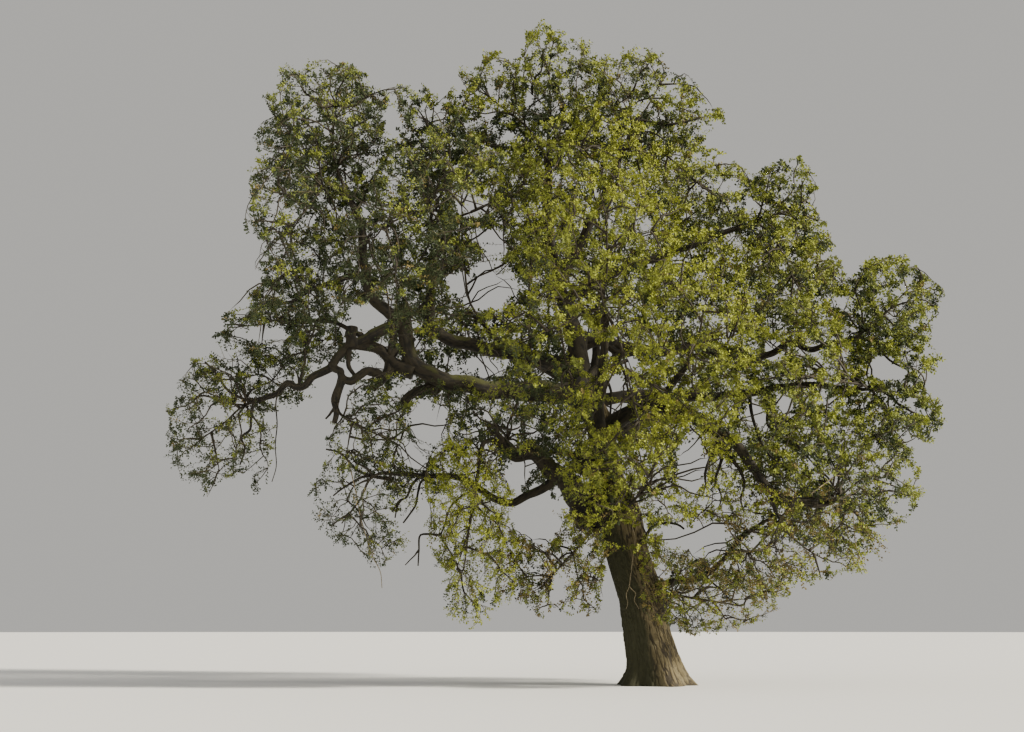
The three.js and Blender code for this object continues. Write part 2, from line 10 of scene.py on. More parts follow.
import bpy
import numpy as np
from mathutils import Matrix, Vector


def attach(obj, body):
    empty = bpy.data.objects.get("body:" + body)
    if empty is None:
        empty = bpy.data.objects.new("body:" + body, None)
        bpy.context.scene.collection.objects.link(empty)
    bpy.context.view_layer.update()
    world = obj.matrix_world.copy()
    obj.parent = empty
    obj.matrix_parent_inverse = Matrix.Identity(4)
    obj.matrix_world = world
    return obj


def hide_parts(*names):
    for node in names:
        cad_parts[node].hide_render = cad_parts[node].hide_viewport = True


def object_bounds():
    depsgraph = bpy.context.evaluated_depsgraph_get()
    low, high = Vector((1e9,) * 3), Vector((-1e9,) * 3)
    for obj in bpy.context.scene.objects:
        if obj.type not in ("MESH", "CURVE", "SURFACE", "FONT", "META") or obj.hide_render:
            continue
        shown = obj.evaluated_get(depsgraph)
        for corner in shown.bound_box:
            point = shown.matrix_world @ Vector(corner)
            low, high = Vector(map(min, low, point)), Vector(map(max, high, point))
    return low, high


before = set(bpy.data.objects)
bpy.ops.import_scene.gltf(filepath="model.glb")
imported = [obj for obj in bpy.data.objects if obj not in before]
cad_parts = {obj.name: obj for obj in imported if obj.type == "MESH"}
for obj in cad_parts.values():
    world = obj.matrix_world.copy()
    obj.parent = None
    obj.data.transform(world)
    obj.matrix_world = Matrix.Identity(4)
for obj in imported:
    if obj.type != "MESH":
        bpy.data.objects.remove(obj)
solid_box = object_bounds()

SEED = 20
WORD = 0xFFFFFFFF
GOLDEN_ANGLE = math.pi * (3 - math.sqrt(5))
UP = np.array([0.0, 0.0, 1.0])
SPAN_STEPS = 60

# The viewpoint: where the eye is, how far it looks up, and the lens
EYE = np.array([-4.22, -42.7, 1.7])
EYE_PITCH = 10.37
LENS = 50.0

# Trunk: radius of the shaft, the flare of its roots, its flutes and the swelling where it forks
SHAFT_RADIUS = 0.64
TRUNK_TIP_RADIUS = 0.4
SHAFT_TAPERS = (4.6, 7.4)
FORK_HEIGHT = 4.9
FORK_SWELL = 0.11
FORK_SPREAD = 0.7
FLARE = 0.43
FLARE_HEIGHT = 0.62
ROOT_RIDGES = 5
ROOT_RIDGE_DEPTH = 0.34
TOE_DEPTH = 0.05
TOE_HEIGHT = 0.35
FLUTE_DEPTH = 0.03
LEVEL_BELOW = 1.1

# Limbs: how crooked they are, in radii, their knots, and how finely they are drawn
CROOK = 0.55
STRAY = 0.22
STRAY_RUN = 1.3
KNOT_HEIGHT = 0.26
KNOT_LENGTH = 0.9
KNOT_WIDTH = 0.75
RINGS_PER_KNOT = 26
LEAST_KNOTS = 2
TRUNK_RINGS = 250
TRUNK_SIDES = 300
BOUGH_STEP = 0.075
SIDE_LIMB_STEP = 0.08
DEAD_TWIG_STEP = 0.06
SIDES_PER_METRE = 110
LEAST_SIDES = 7
MOST_BOUGH_SIDES = 34
MOST_SIDE_LIMB_SIDES = 18

# Bark: how often each of its noises changes in a metre, twice crosswise and once along the limb
WEAVE_GRAIN = (1.3, 1.3, 1.1)
FURROW_GRAIN = (17.0, 17.0, 2.4)
CRACK_GRAIN = (34.0, 34.0, 7.5)
PLATE_GRAIN = (15.0, 15.0, 12.0)
MOSS_GRAIN = 1.9

# Stems and main twigs, as in the source
SHARED_STEM_SHARE = 0.45
SHARED_STEM_GIRTH = 0.62
LONE_STEM_GIRTH = 0.9
TRUNK_STEM_RADIUS = 0.075
STEM_END_RADIUS = 0.02
STEM_SWAY = 0.05
STEM_PLACES = 15
STEM_BARE_PLACES = 3
STEM_PULL = 0.38
STEM_ARCH = 0.06
STEM_REACH = 0.4
TWIG_REACH = 0.58
AREA_PER_TWIG = 3.0
TWIG_SCATTER = 0.2
TWIG_FORE = 0.12
TWIG_RISE = 0.08
TWIG_PLACES = 9
RING_LEAN = 1.65
RING_SWAY = 0.3
SPACE_MARGIN = 0.02
CROWN_MIDDLE = np.array([-1.5, 0.0, 9.5])

# How much grows: clumps of shoots, shoots in all, leaves on each shoot
CLUMPS_PER_ROOM = 6.2
ROOM_POWER = 0.72
CLUMP_TRIES = 24
CLUMP_SIZE = 0.6
CLUMPS_PER_GROUP = 6
LEAST_GROUPS = 5
SHOOTS = 41500
LEAST_SHOOTS = 3
LEAVES_PER_SHOOT = 9

# How twigs to clumps arch and swing, and how far back on the wood they start, as shares of their length
ARCH = 0.14
ARCH_CHANCE = 0.12
SWAY = 0.05
GROUP_FORE = 0.6
CLUMP_FORE = 0.4

# Radii at foot and tip of the main twigs, and at the foot of a shoot
MAIN_TWIG_RADII = (0.045, 0.014)
SHOOT_RADIUS = 0.008

# Where growth may be: its share of a mass's reach, how far it passes the planes between the masses, and
# how it treats the sky gaps, the crown's edge and the solids' box
INNER_SPREAD = 0.4
CLUMP_LIMIT = 0.94
PLANE_SLACK = 0.15
EDGE_CHANCE = 0.05
GAP_DETOUR = 0.9
GAP_VEIL = 0.10
BOX_MARGIN = 0.09

# Leaves: from where on a shoot they sit, their lengths, and the pulls on the way their faces look
LEAF_LENGTH = 0.095
LEAVES_FROM = 0.18
LENGTH_RANGE = (0.65, 1.15)
FRONT_SCALE = 0.93
BACK_SCALE = 1.25
FRONT_TO_BACK = (-3.0, 4.0)
LEAF_DROOP = 0.15
FACES_UP = 0.5
FACES_OUT = 0.85
FACES_ANYHOW = 0.3
LEAF_MARGIN = 0.02
LEAF_HALF_WIDTH = 0.06

# Sprays facing this side get paler colours: mostly painted light, partly paler young leaves outwards and up
PAINTED_LIGHT_SIDE = np.array([0.62, -0.3, 0.72])

# The floor, a disc that lies a little below the cut
FLOOR_RADIUS = 400
FLOOR_SIDES = 96
FLOOR_DROP = 0.002

# The places that the trunk's middle line passes, as in the source
TRUNK_ROUTE = [
    (0, 0, 0), (-0.08, 0, 0.6), (-0.25, 0, 1.45), (-0.4, 0.05, 2.55), (-0.65, 0.1, 3.4),
    (-0.85, 0.1, 4.1), (-1.05, 0.1, 4.9), (-1.3, 0.1, 5.75), (-1.45, 0.2, 6.8), (-1.55, 0.3, 7.75),
    (-1.9, 0.3, 8.4), (-2.35, 0.3, 8.8),
]

# Each bough of the source: its radii at foot and tip, and the places that it passes
BOUGHS = {
    "leader": ((0.36, 0.12), [
        (-2.2, 0.3, 8.55), (-2.1, 0.6, 9.55), (-2.35, 0.8, 10.95), (-2.85, 1, 12.4), (-3.1, 1, 14.25),
        (-3.05, 0.8, 16.2)]),
    "left_great_bough": ((0.4, 0.16), [
        (-1.2, 0.1, 5.2), (-1.95, -0.3, 5.15), (-2.8, -0.6, 5.55), (-3.55, -0.8, 6), (-4.15, -1, 6.65),
        (-4.55, -1.1, 7.05)]),
    "lower_left_bough": ((0.31, 0.22), [
        (-2.15, 0.3, 8.7), (-3.35, -0.1, 8.7), (-4.9, -0.6, 8.6), (-6.05, -0.9, 8.75), (-7, -1, 9.2),
        (-7.35, -1, 9.95), (-7.45, -0.9, 10.75)]),
    "upper_left_bough": ((0.27, 0.18), [
        (-2.2, 0.6, 9.45), (-3.65, 1.2, 10.05), (-4.9, 1.4, 10.4), (-6, 1.3, 10.55), (-7, 1, 10.95)]),
    "right_heavy_bough": ((0.28, 0.1), [
        (-1.55, 0.3, 7.4), (-0.6, -0.3, 8.1), (0.2, -0.8, 8.2), (1.15, -1.2, 7.7), (1.75, -1.4, 7.2),
        (2.35, -1.6, 6.8), (2.75, -1.7, 6.15), (3.35, -1.7, 5.5), (4.45, -1.5, 5.15)]),
    "right_mid_bough": ((0.2, 0.08), [
        (-1.85, 0.4, 8.45), (-0.25, 1, 8.8), (1.35, 1.4, 8.8), (3.2, 1.2, 8.9), (4.7, 0.8, 9.05),
        (6.4, 0.4, 8.85)]),
    "right_upper_bough": ((0.2, 0.08), [
        (-2.3, 0.8, 10.65), (-0.5, 1.4, 10.35), (1.75, 1.6, 10.3), (3.9, 1.2, 10.2), (5.5, 0.6, 10.15),
        (6.2, 0.3, 10.35)]),
    "front_bough": ((0.25, 0.1), [
        (-1.45, 0.2, 6.65), (-1.6, -1.2, 7.1), (-1.7, -2.4, 8.1), (-1.65, -3.2, 9.25),
        (-1.6, -3.6, 10.15)]),
    "back_bough": ((0.27, 0.11), [
        (-1.45, 0.3, 6.8), (-1.45, 1.8, 7.95), (-1.45, 3.2, 9.8), (-1.3, 4.4, 11.9)]),
    "low_right_bough": ((0.12, 0.055), [
        (-0.4, 0.1, 2.7), (0.5, -0.3, 3), (1.3, -0.7, 3.1), (1.85, -0.9, 3.5), (2.4, -1.1, 4.15),
        (3.1, -1.3, 4.7)]),
    "low_left_bough": ((0.14, 0.06), [
        (-3.15, -0.7, 5.75), (-4.2, -0.4, 5.3), (-5, -0.3, 5.55), (-5.7, -0.6, 6), (-6.75, -1.2, 6.05),
        (-7.85, -1.8, 6.05)]),
    "left_rising_limb": ((0.17, 0.09), [
        (-6.85, 1, 10.9), (-6.8, 1, 12.15), (-6.6, 0.8, 13.05), (-6.25, 0.4, 13.85)]),
    "left_column_limb": ((0.19, 0.09), [
        (-7.45, -0.9, 10.55), (-8.4, -1.3, 11.4), (-8.6, -1.4, 12.4), (-8.8, -1.2, 13.6),
        (-9.4, -0.9, 14.9)]),
    "far_left_limb": ((0.19, 0.07), [
        (-7.45, -0.9, 10.75), (-8.35, -1.2, 10.35), (-9, -1.4, 9.95), (-9.45, -1.5, 9.5),
        (-9.95, -1.5, 8.8), (-10.4, -1.4, 8.5), (-11.05, -1.2, 8.55), (-11.65, -1, 8.35)]),
    "loop_limb": ((0.13, 0.06), [
        (-7.15, -1, 9.5), (-7.9, -1.15, 8.95), (-8.45, -1.5, 9.05), (-8.75, -1.8, 8.85),
        (-9.15, -1.9, 8.75), (-9.3, -1.9, 8.1)]),
    "left_lobe_limb": ((0.08, 0.05), [
        (-8.7, -1.3, 10.2), (-9.6, -0.4, 10.75), (-10.4, 0.3, 11), (-11.15, 0.6, 11.05)]),
    "upper_right_limb": ((0.2, 0.09), [
        (-2.8, 1, 12.35), (-1.9, 0.6, 13.8), (-1.2, 0.2, 15.35), (-0.75, 0, 16.45)]),
    "right_shoulder_limb": ((0.17, 0.08), [
        (-2.6, 1, 11.8), (-0.85, 0.6, 12.7), (1.35, 0.3, 13.4), (3.05, 0.1, 14)]),
    "front_right_limb": ((0.16, 0.07), [
        (-0.1, -0.7, 8.25), (0.4, -2, 8.6), (0.75, -3.2, 8.95)]),
    "back_left_limb": ((0.18, 0.08), [
        (-1.45, 2.6, 9), (-2.8, 3.6, 9.85), (-4.45, 4, 10.95), (-5.3, 4.2, 11.85)]),
    "back_right_limb": ((0.2, 0.08), [
        (-1.5, 1.3, 7.4), (0.4, 3, 8.45), (2.25, 4.2, 9.8), (3, 4.5, 10.9)]),
}

# Each mass of the source: the bough that holds it, or its height on the trunk, its tint, middle and radii
MASSES = {
    "far_left": ("far_left_limb", "shade", (-13.25, -0.8, 7.35), (1.45, 2, 2.1)),
    "left_shelf": ("far_left_limb", "olive", (-12.65, 1.3, 9.35), (1.75, 1.7, 0.9)),
    "left_lobe": ("left_lobe_limb", "olive", (-12.3, 0.8, 10.95), (1.4, 1.6, 1.05)),
    "left_side": ("left_column_limb", "olive", (-11, -1.4, 13.4), (1.45, 2.2, 2.25)),
    "top_left": ("left_column_limb", "olive", (-10.05, -0.5, 17.45), (2.05, 2.2, 1.65)),
    "left_spire": ("left_rising_limb", "olive", (-6.9, 0.3, 17.25), (1.2, 1.5, 1.5)),
    "left_front": ("left_rising_limb", "olive", (-7.6, -2.9, 13.25), (1.85, 2, 1.8)),
    "left_middle": ("left_rising_limb", "bright", (-4.85, -0.5, 14.45), (1.6, 2.2, 2.1)),
    "top_shoulder": ("leader", "olive", (-5, 0.5, 18.25), (1.2, 1.7, 1.7)),
    "top": ("leader", "bright", (-3, 0.8, 18.9), (1.65, 2.2, 2.1)),
    "upper_front": ("leader", "bright", (-1.9, -2.6, 15.5), (1.7, 1.7, 1.45)),
    "top_right": ("upper_right_limb", "bright", (0.3, 0, 18.3), (2.05, 2.1, 1.7)),
    "upper_right": ("upper_right_limb", "bright", (1.7, -0.8, 14.75), (1.6, 2.2, 1.5)),
    "right_shoulder": ("right_shoulder_limb", "bright", (4.4, 0, 14.45), (1.35, 1.9, 1.65)),
    "right_front": ("right_shoulder_limb", "bright", (4.3, -1, 11.7), (1.7, 2.2, 1.45)),
    "far_right_upper": ("right_upper_bough", "bright", (7.7, 0.2, 11.65), (1.55, 1.9, 1.5)),
    "far_right": ("right_mid_bough", "bright", (7.75, 0.3, 8.65), (1.45, 1.9, 1.7)),
    "right_inner": ("right_mid_bough", "olive", (4.45, -2.2, 8.75), (1.5, 1.6, 1.4)),
    "right_lower": ("right_heavy_bough", "olive", (6.4, -0.3, 5.95), (1.85, 2.1, 1.45)),
    "right_skirt": ("low_right_bough", "brown", (3.9, -1.5, 3.9), (2.8, 1.8, 1.1)),
    "low_right": (2.6, "brown", (1.55, -1.2, 2.35), (1.75, 1.3, 0.9)),
    "front_low": (4.9, "bright", (-0.4, -3.2, 5.75), (1.35, 1.6, 1.6)),
    "centre_right": ("front_right_limb", "bright", (0.95, -4.4, 9.85), (1.7, 2, 2.15)),
    "centre_front": ("front_bough", "bright", (-1.6, -4.6, 12.2), (1.9, 2.2, 2.25)),
    "front_left": ("front_bough", "olive", (-3.45, -4.4, 9.55), (1.5, 1.9, 1.85)),
    "front_heart": ("front_bough", "bright", (-0.9, -4.3, 7.75), (1.25, 1.6, 1.5)),
    "left_hanging": ("left_great_bough", "bright", (-5.45, -2.6, 4.1), (1.1, 1.3, 2.5)),
    "left_inner": ("left_great_bough", "shade", (-4.65, -1.9, 7.35), (1.3, 1.6, 1.05)),
    "fork_hanging": (4.7, "brown", (-3.05, -1.2, 3.05), (1.25, 1.1, 1.15)),
    "low_left": ("low_left_bough", "shade", (-8.7, -2.2, 5), (1.35, 1.7, 1.5)),
    "under_bough": ("loop_limb", "shade", (-8.1, -1, 7.2), (1.7, 1.6, 0.95)),
    "back_left": ("back_left_limb", "shade", (-7.05, 5.4, 11.8), (2.9, 2.6, 2.55)),
    "back_upper_left": ("back_left_limb", "olive", (-5.85, 4.4, 15.7), (2.7, 2.4, 2.4)),
    "back_top": ("back_bough", "olive", (-1.15, 4.6, 16.6), (2.8, 2.4, 2.5)),
    "back_middle": ("back_bough", "shade", (-1.35, 7.7, 12.7), (3.3, 2.6, 3)),
    "back_right": ("back_right_limb", "olive", (3.8, 4.8, 13.3), (2.9, 2.5, 2.55)),
    "back_low_right": ("back_right_limb", "olive", (3.5, 6, 9), (3, 2.5, 2.2)),
    "back_low": ("back_bough", "shade", (-1.4, 7.2, 8.3), (2.9, 2.3, 2)),
}

# Bare side branches, stubs and burls that the solids leave out, kept as the boughs are
SIDE_LIMBS = {
    "sawn_stub": ((0.17, 0.14), [
        (-2.38, 0.3, 8.73), (-2.15, 0.1, 8.68), (-1.84, -0.15, 8.61)]),
    "hub_up_right": ((0.17, 0.06), [
        (-2.29, 0.3, 8.82), (-2.04, 0.3, 8.98), (-1.79, 0.4, 9.27), (-1.53, 0.5, 9.54),
        (-1.06, 0.6, 9.66), (-0.63, 0.6, 9.81)]),
    "hub_up": ((0.1, 0.05), [
        (-2.23, 0.3, 8.88), (-2.13, 0.3, 9.38), (-2.15, 0.4, 9.93), (-2.3, 0.5, 10.49)]),
    "dark_cross": ((0.16, 0.1), [
        (-2.35, 0.8, 10.1), (-2, 1, 10.27), (-1.46, 1.1, 10.42), (-0.83, 1.2, 10.15),
        (-0.2, 1.2, 10.18)]),
    "inner_post": ((0.05, 0.03), [
        (-3.65, 1.2, 10.12), (-3.66, 1, 10.69), (-3.66, 0.8, 11.19), (-3.69, 0.6, 11.72),
        (-3.69, 0.5, 12.27), (-3.63, 0.4, 12.89), (-3.72, 0.3, 13.57)]),
    "inner_post_short": ((0.04, 0.025), [
        (-3.1, 0.9, 10.12), (-3.06, 0.8, 10.96), (-3.09, 0.6, 12.04), (-3.16, 0.5, 12.59),
        (-3.19, 0.5, 13.3)]),
    "drop_one": ((0.05, 0.025), [
        (-2.15, 0, 8.56), (-2.07, -0.1, 8.42), (-1.92, -0.2, 8.25), (-1.89, -0.3, 7.9),
        (-1.69, -0.3, 7.56)]),
    "drop_two": ((0.055, 0.025), [
        (-1.44, 0.5, 9.61), (-1.33, 0.4, 9.21), (-1.19, 0.2, 8.77), (-1.22, 0, 7.94), (-1.13, 0, 7.64),
        (-1.26, 0, 7.33)]),
    "drop_three": ((0.05, 0.025), [
        (-0.88, 0.5, 9.67), (-0.71, 0.4, 9.27), (-0.61, 0.3, 8.6), (-0.31, 0.2, 8.37)]),
    "low_left_side": ((0.045, 0.022), [
        (-8.28, -1.85, 5.96), (-8.53, -1.9, 5.92), (-8.96, -1.9, 5.69), (-9.35, -1.9, 5.38)]),
    "droop_one": ((0.055, 0.025), [
        (-6.68, -1.15, 6.15), (-6.86, -1.15, 6.06), (-7.12, -1.1, 5.8), (-7.32, -1.1, 5.39),
        (-7.49, -1.1, 5.33), (-7.72, -1.1, 4.98)]),
    "droop_one_fork": ((0.03, 0.02), [
        (-7.44, -1.1, 5.35), (-7.58, -1.1, 5.1), (-7.63, -1.1, 4.81)]),
    "droop_two": ((0.06, 0.025), [
        (-5.47, -0.4, 5.99), (-5.83, -0.5, 6.01), (-6.21, -0.6, 6.09), (-6.71, -0.7, 6.02),
        (-6.91, -0.8, 5.89), (-6.99, -0.8, 5.59), (-7.04, -0.9, 5.2), (-7.2, -1, 4.93),
        (-7.4, -1, 4.67)]),
    "hanging_one": ((0.04, 0.02), [
        (-5.2, -1.9, 5.6), (-5.63, -1.8, 5.41), (-5.95, -1.7, 5.13), (-6.14, -1.8, 4.55),
        (-6.25, -1.9, 4.23), (-6.07, -2, 3.92), (-5.86, -2.1, 3.6)]),
    "hanging_two": ((0.04, 0.02), [
        (-6.25, -1.9, 4.32), (-6.3, -1.9, 4.26), (-6.62, -1.9, 4.29), (-6.85, -1.9, 4.26),
        (-6.87, -1.9, 3.78), (-6.89, -1.9, 3.39)]),
    "hanging_three": ((0.025, 0.015), [
        (-6.87, -1.9, 3.84), (-7.01, -1.9, 3.67), (-7.26, -1.9, 3.41)]),
    "broken_stub": ((0.19, 0.09), [
        (-6.5, -0.6, 8.79), (-6.82, -0.75, 8.68), (-7.08, -0.85, 8.6), (-7.28, -0.95, 8.46),
        (-7.4, -1, 8.31), (-7.47, -1, 8.15)]),
    "rise_to_middle": ((0.055, 0.025), [
        (-7.37, -0.6, 10.88), (-7.08, -0.5, 11.15), (-6.78, -0.4, 11.67), (-6.59, -0.2, 12.57),
        (-6.27, 0, 13.39), (-6.03, 0.1, 14.1)]),
    "thin_rise": ((0.03, 0.018), [
        (-7.44, -0.9, 10.88), (-7.51, -0.8, 11.39), (-7.55, -0.8, 11.92), (-7.59, -0.9, 12.8),
        (-7.74, -0.9, 13.3)]),
    "short_up_stub": ((0.17, 0.14), [
        (-8.99, -1.38, 9.8), (-9.01, -1.36, 10.11), (-8.97, -1.34, 10.45)]),
    "far_up_branch": ((0.05, 0.03), [
        (-11.72, -1.05, 8.27), (-11.98, -1.1, 8.26), (-12.28, -1.1, 8.38), (-12.69, -1, 8.64),
        (-13.06, -0.9, 9.14), (-13.42, -0.8, 9.49)]),
    "far_down_branch": ((0.05, 0.025), [
        (-11.78, -1.2, 8.33), (-11.84, -1.2, 8.21), (-11.91, -1.2, 7.71), (-11.93, -1.2, 7.38),
        (-12.16, -1.2, 7.17), (-12.06, -1.2, 6.85), (-12.19, -1.2, 6.35)]),
    "far_hanging_thin": ((0.024, 0.012), [
        (-11.09, -1.3, 8.56), (-11.17, -1.3, 8.2), (-11.12, -1.3, 7.51), (-11.16, -1.3, 6.89),
        (-11.11, -1.3, 6.28), (-11.22, -1.3, 5.84)]),
    "far_rising_thin": ((0.06, 0.025), [
        (-10.43, -1.4, 8.66), (-10.44, -1.38, 8.9), (-10.39, -1.35, 9.15), (-10.35, -1.3, 9.46),
        (-10.38, -1.25, 9.74), (-10.26, -1.2, 9.99), (-10.16, -1.15, 10.3), (-10.11, -1.1, 10.65)]),
    "far_rising_side": ((0.035, 0.018), [
        (-10.38, -1.25, 9.71), (-10.61, -1.2, 9.66), (-10.88, -1.15, 9.58), (-11.09, -1.1, 9.49)]),
    "far_rising_low": ((0.035, 0.018), [
        (-10.49, -1.4, 8.66), (-10.54, -1.35, 8.94), (-10.64, -1.3, 9.16), (-10.82, -1.3, 9.28)]),
    "lobe_arm": ((0.1, 0.045), [
        (-8.68, -1.35, 12.03), (-9.08, -1.25, 12.03), (-9.51, -1.1, 11.91), (-9.96, -0.9, 11.8),
        (-10.43, -0.5, 11.71), (-10.84, -0.2, 11.53), (-11.24, 0, 11.48)]),
    "lobe_arm_low": ((0.04, 0.02), [
        (-10.81, -0.2, 11.56), (-10.93, -0.2, 11.38), (-11.07, -0.2, 11.09), (-10.94, -0.2, 10.88)]),
    "loop_stub": ((0.12, 0.045), [
        (-7.99, -1.12, 9.01), (-8.16, -1.15, 8.76), (-8.31, -1.15, 8.55)]),
    "loop_hanging": ((0.12, 0.075), [
        (-9.15, -1.86, 8.88), (-9.25, -1.9, 8.57), (-9.31, -1.9, 8.34), (-9.34, -1.9, 8.07),
        (-9.32, -1.9, 7.78), (-9.37, -1.9, 7.49)]),
    "loop_side": ((0.05, 0.025), [
        (-9.35, -1.9, 7.93), (-9.47, -1.9, 7.78), (-9.62, -1.9, 7.61)]),
    "hub_pin": ((0.075, 0.06), [
        (-7.85, -1.1, 9.65), (-7.83, -1.1, 9.95), (-7.83, -1.1, 10.38)]),
    "knob_drop": ((0.08, 0.06), [
        (-9.04, -1.4, 9.86), (-9.04, -1.5, 9.48), (-8.98, -1.6, 9.16), (-8.82, -1.68, 8.91)]),
    "knob_link": ((0.11, 0.11), [
        (-9.52, -1.5, 9.33), (-9.35, -1.65, 9.09), (-9.15, -1.82, 8.82)]),
    "link_one": ((0.2, 0.14), [
        (-7.14, -1, 9.15), (-7.5, -1, 9.33), (-7.8, -1.02, 9.54), (-8.04, -1.05, 9.69),
        (-8.3, -1.12, 9.79), (-8.56, -1.2, 9.87), (-8.82, -1.3, 9.91), (-9.02, -1.38, 9.92)]),
    "link_two": ((0.14, 0.13), [
        (-7.24, -1, 10.24), (-7.45, -1, 9.94), (-7.68, -1, 9.73), (-7.86, -1, 9.45),
        (-7.96, -1.1, 9.13), (-8.07, -1.18, 8.91)]),
    "right_fork_one": ((0.07, 0.03), [
        (3.22, 1.2, 8.94), (3.09, 0.5, 8.42), (3.05, -0.2, 7.82), (3.11, -0.8, 7.23),
        (3.31, -1.1, 6.71), (3.55, -1.2, 6.46), (3.96, -1.3, 6.28)]),
    "right_fork_two": ((0.06, 0.025), [
        (3.71, 1.1, 8.92), (3.7, 0.8, 8.4), (3.61, 0.4, 7.72), (3.96, 0.2, 7.51), (4.25, 0, 7.27),
        (4.44, -0.2, 6.97)]),
    "right_mid_end": ((0.06, 0.03), [
        (6.72, 0.4, 8.9), (6.9, 0.4, 8.93), (7.38, 0.4, 8.68), (7.61, 0.4, 8.4), (8.21, 0.4, 8.06)]),
    "right_upper_end": ((0.06, 0.03), [
        (6.26, 0.3, 10.35), (6.55, 0.3, 10.45), (7.02, 0.4, 10.25), (7.34, 0.4, 9.84),
        (7.91, 0.4, 9.49)]),
    "upper_right_end": ((0.07, 0.035), [
        (-0.58, 0, 16.41), (-0.51, 0, 16.74), (-0.41, 0, 17.03), (-0.22, 0, 17.36), (0.29, 0, 17.33),
        (0.82, 0, 17.26), (1.71, 0, 17.46)]),
    "burl_high": ((0.34, 0.24), [
        (-2.19, -0.45, 6.16), (-2.07, -0.5, 6.48), (-1.96, -0.55, 6.81)]),
    "burl_low": ((0.36, 0.26), [
        (-1.84, -0.25, 4.99), (-2.11, -0.4, 5.07), (-2.41, -0.5, 5.15)]),
    "knot_burl": ((0.21, 0.18), [
        (1.72, -1.38, 7), (1.92, -1.4, 6.85), (2.14, -1.45, 6.73)]),
    "knot_left": ((0.07, 0.03), [
        (1.92, -1.4, 6.88), (1.64, -1.45, 6.64), (1.48, -1.5, 6.4), (1.39, -1.5, 6.05),
        (1.41, -1.5, 5.7)]),
    "knot_right": ((0.065, 0.025), [
        (2.05, -1.45, 6.58), (2.27, -1.5, 6.34), (2.42, -1.55, 6.07), (2.52, -1.6, 5.72),
        (2.39, -1.6, 5.29), (2.47, -1.6, 4.94)]),
    "knot_middle": ((0.05, 0.02), [
        (1.91, -1.4, 6.53), (1.8, -1.5, 6.23), (1.7, -1.5, 5.85), (1.83, -1.55, 5.41),
        (1.76, -1.55, 5.06)]),
    "right_arc": ((0.1, 0.035), [
        (3.77, -1.6, 5.14), (4.11, -1.55, 5.26), (4.5, -1.5, 5.32), (4.98, -1.4, 5.33),
        (5.46, -1.3, 5.2), (5.82, -1.2, 4.91), (6.03, -1.1, 4.52)]),
    "right_drop": ((0.045, 0.02), [
        (3.22, -1.7, 5.36), (3.38, -1.7, 4.96), (3.51, -1.7, 4.59), (3.44, -1.7, 4.25),
        (3.26, -1.7, 3.96)]),
    "low_drop": ((0.035, 0.015), [
        (1.43, -0.85, 3.11), (1.64, -1, 2.91), (1.85, -1.1, 2.73), (2.07, -1.15, 2.44),
        (2.37, -1.2, 2.27)]),
    "low_drop_two": ((0.03, 0.012), [
        (2.07, -0.95, 3.8), (2.32, -1, 3.51), (2.42, -1.05, 3.13), (2.72, -1.1, 2.9)]),
    "arched_low": ((0.065, 0.03), [
        (-0.53, -0.1, 3.99), (-0.3, -0.6, 4.31), (-0.05, -0.8, 4.62), (0.31, -1, 4.67),
        (0.62, -1.1, 4.6), (0.78, -1.2, 4.48)]),
    "low_left_end": ((0.058, 0.025), [
        (-7.74, -1.75, 5.88), (-8.28, -1.85, 5.96), (-8.71, -1.9, 6.12), (-8.93, -2, 6.37),
        (-9.21, -2.1, 6.62), (-9.55, -2.2, 6.69)]),
}

# Dead twigs that hang in front of the trunk and under the skirts
DEAD_TWIGS = {
    "dead_one": ((0.014, 0.008), [
        (-0.65, -1, 5.11), (-0.62, -1.02, 4.87), (-0.69, -1.05, 4.58), (-0.64, -1.07, 4.26),
        (-0.71, -1.1, 3.76), (-0.77, -1.1, 3.19)]),
    "dead_two": ((0.013, 0.007), [
        (-0.77, -1.1, 3.22), (-0.84, -1.08, 2.85), (-0.92, -1.05, 2.62), (-0.87, -1.1, 2.36),
        (-0.93, -1.1, 2.19)]),
    "dead_three": ((0.011, 0.006), [
        (-0.84, -1.1, 2.87), (-0.78, -1.12, 2.76), (-0.64, -1.15, 2.62), (-0.68, -1.18, 2.42),
        (-0.57, -1.2, 2.19)]),
    "dead_skirt": ((0.02, 0.01), [
        (-8.93, -2, 6.37), (-8.68, -2.1, 5.53), (-8.45, -2.2, 4.53), (-8.17, -2.3, 3.65),
        (-7.92, -2.4, 3.2), (-7.86, -2.4, 2.75)]),
    "dead_right": ((0.02, 0.01), [
        (4.34, -1.4, 5.39), (4.94, -1, 5.81), (5.43, -0.7, 6.08), (5.77, -0.6, 5.97),
        (5.84, -0.55, 5.08), (5.92, -0.5, 4.06), (6.05, -0.5, 3.56), (6.21, -0.5, 3.27)]),
}

